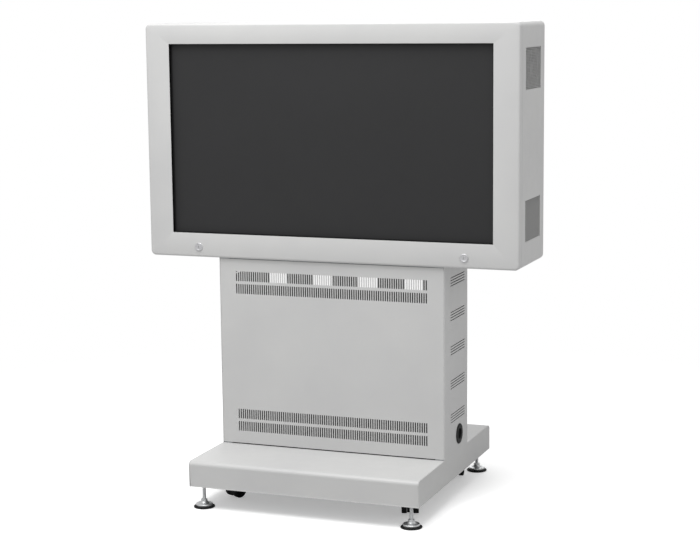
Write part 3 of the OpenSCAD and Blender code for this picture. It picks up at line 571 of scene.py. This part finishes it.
half, middle = (high - low) / 2, (high + low) / 2
z_cuts = sorted(z for pair in grille_z for z in pair)
notch_half = HINGE_L / 2 + NOTCH_GAP
x_cuts = sorted([x + s * notch_half for x in hinge_x for s in (-1, 1)] + [-PASSAGE[0], PASSAGE[0]])


def head_loop(inset, y):
    """The head's outline, inset by that much on every side, with the cuts of all its openings."""
    return cut_loop(half[0] - inset, half[2] - inset, max(CORNER_R - inset, 0.5),
                    middle[[0, 2]], y, z_cuts, x_cuts)


lip_bend = arc((LIP_BEND_R, LIP_BEND_R), LIP_BEND_R, 270, 180, 5)
section = [(LIP, low[1]), *[(inset, low[1] + deep) for inset, deep in lip_bend]]
section += [(0, y) for y in (NOTCH_Y, grille_y[0], -PASSAGE[1], PASSAGE[1], grille_y[1], high[1])]
rows = [head_loop(inset, y) for inset, y in section]
openings = [((-FAR, grille_y[0], a), (FAR, grille_y[1], b)) for a, b in grille_z]
for x in hinge_x:
    openings.append(((x - notch_half, -FAR, high[2] - LIP - 1), (x + notch_half, NOTCH_Y, FAR)))
openings.append(((-PASSAGE[0], -PASSAGE[1], -FAR), (PASSAGE[0], PASSAGE[1], low[2] + SHEET + 1)))
band = leave_out(net(np.array(rows), wrap_v=True), openings)
REAR_LIP_Y = high[1] - SHEET
rear_lip = [head_loop(inset, REAR_LIP_Y) for inset in (1, LIP)]
shell = build("head_shell_band", [band, net(np.array(rear_lip), wrap_v=True)], light_grey, closed=False)
stand_for(soften(wall(shell, SHEET), 0.35, 1, 50), "head_shell")
print("head shell:", len(shell.data.polygons), "faces, notches at", hinge_x.tolist())

# %% [markdown]
# ## The side grilles
# Fine square mesh closes the head's side openings and lets the fans breathe. Such a mesh
# has wires of about 0.3 mm, too fine to see from across a room. It is drawn coarser, at a
# 5 mm pitch with 0.8 mm wires, which leaves about seven tenths of it open.
# Lines on a grid are placed at the start and the end of each hole, and the cells that
# are a hole in both directions are left out. The lower grilles are the air intakes, and
# a dark foam mat behind each of them is a dust filter that also stands in for the shade
# inside the head: painted shade that darkens what is seen through the mesh.

# %% Mesh grilles
PITCH, WIRE = 5.0, 0.8
MESH_T = 0.5


def hole_lines(start, end, margin):
    """Start and end of each hole, a pitch apart and centred, with the outer edges as first and last."""
    count = int((end - start - 2 * margin) / PITCH)
    first = (start + end) / 2 - count * PITCH / 2 + WIRE / 2
    holes = first + PITCH * np.arange(count)
    return np.concatenate([[start], np.stack([holes, holes + PITCH - WIRE], -1).ravel(), [end]])


def mesh_panel(x, y0, y1, z0, z1):
    """A flat grid in the plane x; a cell is a hole where its row and its column both have odd numbers."""
    y, z = hole_lines(y0, y1, PLATE_MARGIN), hole_lines(z0, z1, PLATE_MARGIN)
    grid = np.stack(np.broadcast_arrays(x, y[:, None], z[None, :]), -1)
    points, quads = net(grid)
    i, j = np.divmod(np.arange(len(quads)), len(z) - 1)
    return points, quads[~((i % 2 == 1) & (j % 2 == 1))]


panels = []
for face_x, turn in ((plate_high[0], 1), (plate_low[0], -1)):
    for a, b in grille_z:
        points, quads = mesh_panel(face_x, plate_low[1], plate_high[1], a - PLATE_MARGIN, b + PLATE_MARGIN)
        panels.append((points, quads[:, ::turn]))
grilles = build("side_mesh_grilles", panels, light_grey, closed=False, flat=True)
stand_for(wall(grilles, MESH_T), "side_grilles")

FILTER_T = 4
FILTER_GAP = 0.4
FILTER_SWELL = 0.5   # how far the mat's middle stands out past its edges
FILTER_BACK = 0.6    # how far its edges lie behind its front plane


def filter_and_shade_mat(face_x, inward, y, z):
    """A thin open-cell mat: its outer skin swells between its edges by a parabola each way."""
    u, v = np.meshgrid(np.linspace(-1, 1, 25), np.linspace(-1, 1, 19), indexing="ij")
    swell = FILTER_SWELL * (1 - u ** 2) * (1 - v ** 2)
    flat = [np.mean(y) + u * (y[1] - y[0]) / 2, np.mean(z) + v * (z[1] - z[0]) / 2]
    outer = np.stack([face_x + inward * (FILTER_BACK - swell), *flat], -1)
    inner = np.stack([face_x + inward * (FILTER_T + 0 * u), *flat], -1)
    rim = [np.concatenate([g[0], g[1:, -1], g[-1, -2::-1], g[-2:0:-1, 0]]) for g in (outer, inner)]
    return [net(outer), net(inner), net(np.array(rim), wrap_v=True)]


# painted shade: these dark mats are dust filters and also stand in for the shade inside the head behind the lower
# grilles
mats = []
for face_x, inward in ((plate_high[0], -1), (plate_low[0], 1)):
    mats += filter_and_shade_mat(face_x + inward * (MESH_T + FILTER_GAP), inward, grille_y, grille_z[0])
filters = build("grille_filter_and_shade_mats", mats, pore)
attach(filters, body_of_node["side_grilles"])
print("grilles:", len(grilles.data.polygons), "faces, and filter mats behind the lower two")

# %% [markdown]
# ## The base covers
# Each cover is one strip of sheet bent along its length: a lip under the base, the front
# wall, a large round at the top edge, the deck, and a hem inside the column. So it is a
# section carried along X. The section is drawn as the sheet's middle line, with each
# corner given its bend radius, and then offset by half a thickness to both sides.

# %% Bent sheet sections
def bent(corners, radii, steps=8):
    """A path through corners, each inner one cut back by r tan(turn / 2) and joined by an arc of r."""
    corners = np.array(corners, float)
    path = [corners[:1]]
    for before, here, after, r in zip(corners, corners[1:], corners[2:], radii):
        a = (before - here) / np.linalg.norm(before - here)
        b = (after - here) / np.linalg.norm(after - here)
        half_turn = (math.pi - math.acos(a @ b)) / 2
        heart = here + (a + b) / np.linalg.norm(a + b) * r / math.cos(half_turn)
        start = here + a * r * math.tan(half_turn) - heart
        side = math.copysign(1, start[0] * b[1] - start[1] * b[0])
        t = side * np.linspace(0, 2 * half_turn, steps)
        path.append(heart + np.stack([start[0] * np.cos(t) - start[1] * np.sin(t),
                                      start[0] * np.sin(t) + start[1] * np.cos(t)], -1))
    return np.concatenate(path + [corners[-1:]])


def strip(path, thick, x0, x1):
    """The path offset by half the thickness along its normals, carried from x0 to x1 and capped."""
    along = np.gradient(path, axis=0)
    across = np.stack([-along[:, 1], along[:, 0]], -1) / np.linalg.norm(along, axis=1)[:, None] * thick / 2
    left, right = path + across, path - across
    outline = np.concatenate([left, right[::-1]])

    def place(x, flat):
        return np.insert(flat, 0, x, axis=-1)

    ends = [net(np.stack([place(x, left), place(x, right)])) for x in (x0, x1)]
    return [net(np.stack([place(x0, outline), place(x1, outline)]), wrap_v=True), *ends]


DECK_R = 14     # outside radius of the round between front wall and deck
FOLD_R = 2      # the small bends of lip and hem
UNDER_LIP = 20
HEM = 22


def base_cover(name, node, facing):
    """The section starts under the front edge; facing is -1 at the front and 1 at the rear."""
    low, high = box_mm(node)
    front, back = (low[1], high[1]) if facing < 0 else (high[1], low[1])
    t = SHEET / 2 * facing
    corners = [(front - UNDER_LIP * facing, low[2] + SHEET / 2), (front - t, low[2] + SHEET / 2),
               (front - t, high[2] - SHEET / 2), (back + t, high[2] - SHEET / 2), (back + t, high[2] - HEM)]
    path = bent(corners, [FOLD_R, DECK_R - SHEET / 2, FOLD_R], 12)
    made = build(name, strip(path, SHEET, low[0], high[0]), light_grey)
    return stand_for(soften(made, 0.35, 2, 50), node)


deck_front = base_cover("base_cover_front_bend", "base_cover_front", -1)
base_cover("base_cover_rear_bend", "base_cover_rear", 1)
print("base covers:", len(deck_front.data.polygons), "faces each")

# %% [markdown]
# ## Locks, nuts and studs
# Round hardware is turned, so it is a profile spun round an axis. Two small formulas make
# it real. A thread is a radius that falls and rises as a wave climbs round the stud. A
# hexagon with worn corners is the smaller of two radii: that of the flat at each angle,
# and that of the cone that chamfers the corners.

# %% Threads and hexagons
def thread(pitch, depth, low_h, high_h):
    """radius - depth * triangle wave of (h / pitch - angle / turn), fading out at both ends."""
    def cut(r, h, a):
        wave = np.abs((h / pitch - a / (2 * math.pi)) % 1 * 2 - 1)
        fade = np.clip((h - low_h) / pitch, 0, 1) * np.clip((high_h - h) / pitch, 0, 1)
        return r - depth * wave * fade
    return cut


def threaded(radius, low_h, high_h, pitch, per_turn=5):
    """Profile points up a threaded stretch, a few to each turn of the thread."""
    h = np.arange(low_h, high_h, pitch / per_turn)
    return np.stack([np.full_like(h, radius), h], -1)


def hex_nut(corner_r, bore_r, h0, h1, axis, centre, sides=72):
    """Outside radius = min(apothem / cos(angle from the flat's middle), chamfer cone), bore round."""
    apothem = corner_r * math.cos(math.pi / 6)
    rim = apothem + 0.25 * (corner_r - apothem)

    def six(r, h, a):
        flat = apothem / np.cos((a + math.pi / 6) % (math.pi / 3) - math.pi / 6)
        return np.where(r > bore_r + 0.5, np.minimum(r, flat), r)
    drop = (corner_r - rim) * 0.5
    profile = [(bore_r, h0), (rim, h0), (corner_r, h0 + drop),
               (corner_r, h1 - drop), (rim, h1), (bore_r, h1)]
    return lathe(profile, axis, centre, sides, wrap=True, wobble=six)


print("thread and hexagon ready")

# %% [markdown]
# The bezel locks are cam locks: a chromed barrel with a wide round head in front of the
# sheet, a nut behind it, and a key plug inside. The plug keeps its CAD shape, which has
# the keyway, and gets softer edges.

# %% Cam locks
LOCK_HEAD_R, LOCK_BODY_R, LOCK_BORE_R = 14, 9.5, 7.05
LOCK_BODY_L, LOCK_HEAD_T = 28, 4
LOCK_ROUND, LOCK_EASE = 1.5, 0.6            # the head's outer edge and the edge of its mouth
LOCK_PITCH, LOCK_THREAD, LOCK_PLAIN = 1.25, 0.45, 8   # thread pitch and depth, length left unthreaded
LOCK_NUT_R, LOCK_NUT_T = 14, 5


def lock_body(x, z, face_y, out):
    """Barrel profile from its inner end to the domed rim of its head, mirrored along Y by out."""
    head_round = arc((LOCK_HEAD_R - LOCK_ROUND, LOCK_HEAD_T - LOCK_ROUND), LOCK_ROUND, 0, 90, 5)
    mouth = LOCK_HEAD_T - LOCK_EASE
    head = [(LOCK_BODY_R, -0.01), (LOCK_HEAD_R, 0), *head_round,
            (LOCK_BODY_R + LOCK_EASE, LOCK_HEAD_T), (LOCK_BODY_R, mouth), (LOCK_BORE_R, mouth)]
    screw = threaded(LOCK_BODY_R, 0.5 - LOCK_BODY_L, -LOCK_PLAIN, LOCK_PITCH)
    profile = [(LOCK_BORE_R, -LOCK_BODY_L), (LOCK_BODY_R - 0.5, -LOCK_BODY_L), *screw,
               (LOCK_BODY_R, -LOCK_PLAIN), *head]
    groove = thread(LOCK_PITCH, LOCK_THREAD, -LOCK_BODY_L, -LOCK_PLAIN)
    spun = lathe(profile, "Z", sides=56, wrap=True, wobble=groove)
    nut = hex_nut(LOCK_NUT_R, LOCK_BODY_R + 0.05, -SHEET - LOCK_NUT_T, -SHEET, "Z", (0, 0, 0))
    parts = [spun, nut]
    return [aim((points * (1, 1, out), quads), "Y", (x, face_y, z)) for points, quads in parts]


LOCK_EDGE = 0.15
bezel_face = box_mm("bezel_frame")[0][1]
barrels = []
for side in ("left", "right"):
    low, high = box_mm("lock_plug_" + side)
    barrels += lock_body((low[0] + high[0]) / 2, (low[2] + high[2]) / 2, bezel_face, -1)
    dress("lock_plug_" + side, satin, LOCK_EDGE)
stand_for(soften(build("bezel_lock_barrels", barrels, satin), LOCK_EDGE, 1, 50), "lock_barrels")
low, high = box_mm("rear_lock_plug")
rear = lock_body((low[0] + high[0]) / 2, (low[2] + high[2]) / 2, box_mm("rear_door")[1][1], 1)
stand_for(soften(build("rear_lock_body", rear, satin), LOCK_EDGE, 1, 50), "rear_lock_barrel")
dress("rear_lock_plug", satin, LOCK_EDGE)
print("locks:", len(barrels) + len(rear), "turned parts")

# %% [markdown]
# ## Cable outlet
# A moulded black bushing fills the hole in the right side plate. Its flange is domed,
# its mouth is rounded so that it cannot chafe a cable, and eight thin flaps in the bore
# keep dust out while a plug passes.

# %% Cable outlet
low, high = box_mm("cable_outlet")
plate_face = box_mm("side_plate_right")[1][0]
outlet_at = (plate_face, (low[1] + high[1]) / 2, (low[2] + high[2]) / 2)
FLANGE_R, NECK_R, BORE_R = 35, 27, 18
FLANGE_T = high[0] - plate_face
NECK_L = plate_face - low[0]
RIM_R, MOUTH_R = 2.2, 2.5       # rounding of the flange's rim and of the mouth
LAND = 6                        # flat ring round the mouth
ring = [(BORE_R, -NECK_L), (NECK_R - 1, -NECK_L), (NECK_R, -NECK_L + 1), (NECK_R, 0.01), (FLANGE_R, 0),
        *arc((FLANGE_R - RIM_R, FLANGE_T - RIM_R), RIM_R, 0, 80, 6), (BORE_R + LAND, FLANGE_T),
        *arc((BORE_R + MOUTH_R, FLANGE_T - MOUTH_R), MOUTH_R, 90, 180, 6)]
outlet = build("cable_outlet_bush", [lathe(ring, "X", outlet_at, 96, wrap=True)], plastic)
stand_for(soften(outlet, 0.3, 1, 50), "cable_outlet")

FLAPS = 8
PINHOLE_R = 2.2                 # the small hole where the flaps' tips meet
FLAP_SET, FLAP_DISH = 3, 2.5    # depth of the flaps at the wall, and how much more in the middle
FLAP_T = 1.0


def flap(k):
    """depth = set + dish (1 - (r / bore)^2), over a sector of the bore from the small hole to the wall."""
    r = np.linspace(PINHOLE_R, BORE_R - 0.1, 6)[:, None]
    a = (np.linspace(0.03, 0.97, 7)[None, :] + k) * 2 * math.pi / FLAPS
    depth = -FLAP_SET - FLAP_DISH * (1 - (r / BORE_R) ** 2)
    return aim(net(np.stack([r * np.cos(a), r * np.sin(a), depth + 0 * a], -1)), "X", outlet_at)


flaps = build("cable_outlet_flaps", [flap(k) for k in range(FLAPS)], pad_rubber, closed=False)
wall(flaps, FLAP_T)
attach(flaps, body_of_node["cable_outlet"])
print("outlet at", np.round(outlet_at, 1).tolist())

# %% [markdown]
# ## Levelling feet
# A steel stud screws down out of the base and swivels in a bell-shaped metal foot, which
# stands on a thin rubber ring. Turning the studs sets the kiosk level and takes the
# weight off the castors. The bell is a profile made of two arcs that turn into each
# other, and a small hexagon above it takes the spanner.

# %% Feet
STUD_R, STUD_PITCH, STUD_THREAD = 6, 1.75, 0.9
RUBBER_T, RUBBER_R = 6, 2.4            # the rubber ring's height and the round of its edge
BELL_R, BELL_H = 29, 15
BELL_SHOULDER_R, BELL_NECK_R = 10, 9
SKIRT_R, HOLLOW_R = 4, 13              # the bell's outward and inward curves
COLLAR_LIFT = 2                        # the hexagon above the bell's top
HEX_R, HEX_H = 11, 5
NUT_BORE_GAP = 0.15


def rubber_ring(pad_r):
    """A flat disc with a rounded rim, a little lower in the middle, where the bell stands."""
    rim = arc((pad_r - RUBBER_R, RUBBER_R), RUBBER_R, -60, 60, 7)
    return [(0, 0), (pad_r - 3, 0), *rim, (pad_r - 4, RUBBER_T - 0.6),
            (BELL_R + 1, RUBBER_T), (BELL_R - 1, RUBBER_T), (0, RUBBER_T - 0.5)]


def foot_and_stud(top):
    """The bell's two arcs, the neck, and a threaded stud up to top; also where thread and hexagon start."""
    bell_top = RUBBER_T + BELL_H
    hexagon = bell_top + COLLAR_LIFT
    bare = hexagon + HEX_H + 0.5
    skirt = arc((BELL_R - SKIRT_R, RUBBER_T + SKIRT_R), SKIRT_R, -40, 75, 8)
    hollow = arc((BELL_SHOULDER_R + HOLLOW_R, bell_top + 5), HOLLOW_R, 268, 200, 9)
    profile = [(0, RUBBER_T), (BELL_R - 1, RUBBER_T), *skirt, *hollow, (BELL_NECK_R, hexagon),
               (STUD_R, hexagon), (STUD_R, bare), *threaded(STUD_R, bare + 0.2, top - 1, STUD_PITCH),
               (STUD_R - 0.8, top), (0, top)]
    return profile, bare + 0.2, hexagon


foot_corners = {}
nut_low, nut_high = box_mm("foot_lock_nuts")
for corner in CORNERS:
    pad_low, pad_high = box_mm("foot_pad_" + corner)
    x, y = (pad_low[:2] + pad_high[:2]) / 2
    foot_corners[corner] = (x, y)
    ring = lathe(rubber_ring((pad_high[0] - pad_low[0]) / 2), "Z", (x, y, 0))
    stand_for(build("foot_pad_" + corner + "_rubber", [ring], pad_rubber), "foot_pad_" + corner)
    top = box_mm("foot_stud_" + corner)[1][2]
    profile, thread_from, hexagon = foot_and_stud(top)
    groove = thread(STUD_PITCH, STUD_THREAD, thread_from, top - 1)
    spun = lathe(profile, "Z", (x, y, 0), 48, wobble=groove)
    collar = hex_nut(HEX_R, STUD_R - 0.1, hexagon - 0.1, hexagon + HEX_H, "Z", (x, y, 0))
    stand_for(build("foot_stud_" + corner + "_turned", [spun, collar], zinc), "foot_stud_" + corner)
nuts = [hex_nut(STUD_R * 1.75, STUD_R + NUT_BORE_GAP, nut_low[2], nut_high[2], "Z", (x, y, 0))
        for x, y in foot_corners.values()]
stand_for(soften(build("foot_lock_nuts_hex", nuts, zinc), 0.15, 1, 50), "foot_lock_nuts")
print("feet at", {c: np.round(p).tolist() for c, p in foot_corners.items()})

# %% [markdown]
# ## Castor wheels
# Each castor has two wheels on one axle, with the swivel's body between them, so it
# turns easily under a heavy cabinet. A wheel is a hard core with a tyre round it. Both
# are profiles spun round the axle. The axle lies level but at the castor's own heading,
# which the joint's axis gives, so each ring is made round Y and turned about Z.

# %% Wheels
WHEEL_T, WHEEL_GAP = 18, 22
TYRE_DEEP = 5
AXLE_BORE = 4.05
joint_of = {j["child"]: j for j in frame["joints"]}


def head_to(part, across, centre):
    """Turns a shape about Z until its Y axis points along across, then moves it to centre."""
    points, quads = part
    c, s = across[1], -across[0]
    x, y, z = points.T
    return np.stack([c * x - s * y, s * x + c * y, z], -1) + centre, quads


def wheel_pair(profile, across, centre):
    """The same ring twice, its profile's second number running outwards along the axle."""
    rings = []
    for side in (-1, 1):
        mirrored = [(r, side * (WHEEL_GAP / 2 + h)) for r, h in profile]
        rings.append(head_to(lathe(mirrored, "Y", sides=72, wrap=True), across, centre))
    return rings


def tyre_profile(r, w):
    """A ring of rubber: rounded by 2.5 mm on its inner side and by 3.5 mm on its outer side."""
    rim = r - TYRE_DEEP
    return [(rim, 0.8), (rim + 1, 0), (r - 2.5, 0), *arc((r - 2.5, 2.5), 2.5, -60, -10, 4), (r, w / 2),
            *arc((r - 3.5, w - 3.5), 3.5, 10, 75, 5), (rim + 0.8, w - 0.2), (rim, w - 0.9)]


def core_profile(rim, w):
    """A hard disc: a bead at the rim, a groove of 4 mm radius, and a raised boss round the axle."""
    return [(AXLE_BORE, 0), (rim, 0), (rim, w - 1.2), (rim - 1.2, w - 0.9), (rim - 2.4, w - 1.8),
            *arc((rim - 7.5, w - 1.5), 4, -30, -150, 6), (7.5, w - 0.6), (6.5, w), (AXLE_BORE, w)]


pin_end = WHEEL_GAP / 2 + WHEEL_T
pin = [(0, -pin_end), (AXLE_BORE, -pin_end), (AXLE_BORE, pin_end), (0, pin_end)]
for corner in CORNERS:
    node = "castor_wheel_" + corner
    low, high = box_mm(node)
    centre, r = (low + high) / 2, (high[2] - low[2]) / 2
    across = joint_of[body_of_node[node]]["axis"]
    tyres = wheel_pair(tyre_profile(r, WHEEL_T), across, centre)
    stand_for(soften(build("castor_tyre_" + corner, tyres, tyre_rubber), 0.2, 1, 50), node)
    hub_parts = wheel_pair(core_profile(r - TYRE_DEEP, WHEEL_T), across, centre)
    hub_parts.append(head_to(lathe(pin, "Y", sides=32), across, centre))
    hub = soften(build("castor_core_" + corner, hub_parts, plastic), 0.2, 1, 50)
    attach(hub, body_of_node[node])
    print("castor", corner, "wheel radius", round(float(r), 1), "mm, axle", np.round(across, 2).tolist())

# %% [markdown]
# ## Fan rotors
# A fan blade is a curved, twisted strip: it leans more at the hub, where it moves more
# slowly, and sweeps back towards its tip. The strip is worked out over two numbers, how
# far out and how far across, then given a thickness that thins towards both edges.

# %% Fan rotors
HUB_R, BLADES = 19.5, 7
AXLE_R, HUB_ROUND = 2.05, 2.5
TIP_GAP = 0.6                       # the blades are shorter than the CAD disc by this
ROOT_IN = 1.5                       # the blade starts this far inside the hub
CHORD_ROOT, CHORD_GROWTH = 8.5, 5   # half the blade's width at the hub, and how much it gains
SWEEP = 0.35                        # radians that the tip trails behind the root
BLADE_RISE, CAMBER = 5.2, 1.4       # half the blade's height at the root, and its hollow
axis_yz = (sum(grille_y) / 2, sum(grille_z[1]) / 2)


def blade(k, tip_r, mid_h, half_h):
    """angle = turn k/7 + sweep s^2 + chord t / r, height = mid + half_h (1 - s/4) t + camber (1 - t^2)."""
    s, t = np.meshgrid(np.linspace(0, 1, 9), np.linspace(-1, 1, 9), indexing="ij")
    r = HUB_R - ROOT_IN + s * (tip_r - HUB_R + ROOT_IN)
    chord = CHORD_ROOT + CHORD_GROWTH * s
    a = 2 * math.pi * k / BLADES + SWEEP * s ** 2 + chord * t / r
    h = mid_h + half_h * (1 - s / 4) * t + CAMBER * (1 - t ** 2)
    half_t = 0.8 * np.sqrt(np.clip(1 - t ** 2, 0, 1)) + 0.05
    skin = [np.stack([r * np.cos(a), r * np.sin(a), h + side * half_t], -1) for side in (1, -1)]
    ring = np.concatenate([skin[0], skin[1][:, ::-1]], axis=1)
    close = [ring[i:i + 1] * 0 + (skin[0][i].mean(0) + skin[1][i].mean(0)) / 2 for i in (0, -1)]
    return net(np.concatenate([close[0], ring, close[1]]), wrap_v=True)


for side, out in (("left", -1), ("right", 1)):
    low, high = box_mm("fan_rotor_" + side)
    back = high[0] if out < 0 else low[0]
    depth = high[0] - low[0]
    tip = (high[2] - low[2]) / 2 - TIP_GAP
    shoulder = arc((HUB_R - HUB_ROUND, depth - HUB_ROUND), HUB_ROUND, 10, 90, 4)
    dome = [(AXLE_R, 0), (HUB_R, 0), (HUB_R, depth - HUB_ROUND), *shoulder, (AXLE_R, depth)]
    parts = [lathe(dome, sides=56, wrap=True)]
    parts += [blade(k, tip, depth / 2, BLADE_RISE) for k in range(BLADES)]
    placed = [aim((points * (1, 1, out), quads), "X", (back, *axis_yz)) for points, quads in parts]
    rotor = build("fan_rotor_" + side + "_moulded", placed, plastic)
    stand_for(soften(rotor, 0.3, 1, 50), "fan_rotor_" + side)
print("rotors with", BLADES, "blades, tip radius", round(float(tip), 1), "mm")

# %% [markdown]
# ## Studio
# The kiosk stands on a pale floor under three soft lights: one high in front on the left,
# a large one overhead that makes the deck and every top edge the brightest parts, and a
# weak one behind that keeps the rear door readable and hardly reaches the front. The
# right side gets only the light of the white surroundings, so it reads as the darker
# face. The floor fades out a few metres away, which leaves no horizon behind the kiosk.
# It is seen as white paper but throws back only part of its light, so that the base
# stays darker than the head.
# The view transform is Standard, so that the paint keeps its own value.

# %% Floor, world and lights
FLOOR_NEAR, FLOOR_FAR = 0.8, 2.6   # metres from the middle: where the floor starts and ends its fade
FLOOR_GLOW = 0.35                  # what the camera sees on top of the light the floor receives
WORLD_LIGHT = 0.60


def pale_floor():
    made, tree, shader = blank("pale_floor", Roughness=0.9)
    ray = add(tree, "ShaderNodeLightPath").outputs["Is Camera Ray"]
    white = two_tone(tree, grain(tree, 900), "#fafafa", "#fdfdfd")
    shade = add(tree, "ShaderNodeMix", {6: hue("#bebebe")}, {0: ray, 7: white}, data_type="RGBA")
    glow = spread(tree, ray, 0, FLOOR_GLOW, 0, 1)
    drive(tree, shader, Base_Color=shade.outputs[2], Emission_Strength=glow)
    shader.inputs["Emission Color"].default_value = (1, 1, 1, 1)
    place = add(tree, "ShaderNodeTexCoord").outputs["Object"]
    away = add(tree, "ShaderNodeVectorMath", links={0: place}, operation="LENGTH").outputs["Value"]
    fade = spread(tree, away, 0, 1, FLOOR_NEAR, FLOOR_FAR)
    clear = add(tree, "ShaderNodeBsdfTransparent").outputs["BSDF"]
    either = add(tree, "ShaderNodeMixShader", links={0: fade, 1: shader.outputs["BSDF"], 2: clear})
    tree.links.new(either.outputs[0], tree.nodes["Material Output"].inputs["Surface"])
    return made


reach = np.linspace(0, FLOOR_FAR / MM, 9)
floor_grid = lathe([(r, 0) for r in reach[::-1]], sides=96)
floor = build("floor", [floor_grid], pale_floor(), closed=False)


def softbox(name, place, target, size, power):
    """A square area light at place, facing target, size metres across, power in watts."""
    lamp = bpy.data.lights.new(name, "AREA")
    lamp.size, lamp.energy = size, power
    made = bpy.data.objects.new(name, lamp)
    bpy.context.scene.collection.objects.link(made)
    gaze = np.array(target) - np.array(place)
    facing = Vector(gaze).to_track_quat("-Z", "Y").to_matrix().to_4x4()
    made.matrix_world = Matrix.Translation(place) @ facing
    made.visible_camera = False
    return made


softbox("key", (-0.8, -1.9, 3.0), (0, 0, 1.0), 1.2, 16)
softbox("overhead", (0.2, -1.3, 4.6), (0, -0.3, 0.6), 2.6, 115)
softbox("rear_fill", (-0.9, 3.6, 2.6), (0, 0, 0.9), 2.0, 24)

world = bpy.data.worlds.new("studio")
bpy.context.scene.world = world
world.use_nodes = True
sky = world.node_tree
lit = sky.nodes["Background"]
lit.inputs["Color"].default_value = (1, 1, 1, 1)
lit.inputs["Strength"].default_value = WORLD_LIGHT
seen = add(sky, "ShaderNodeBackground", {"Color": hue("#ffffff"), "Strength": 1.0})
ray = add(sky, "ShaderNodeLightPath")
either = add(sky, "ShaderNodeMixShader",
             links={0: ray.outputs["Is Camera Ray"], 1: lit.outputs[0], 2: seen.outputs[0]})
sky.links.new(either.outputs[0], sky.nodes["World Output"].inputs["Surface"])
bpy.context.scene.view_settings.view_transform = "Standard"
print("studio ready")
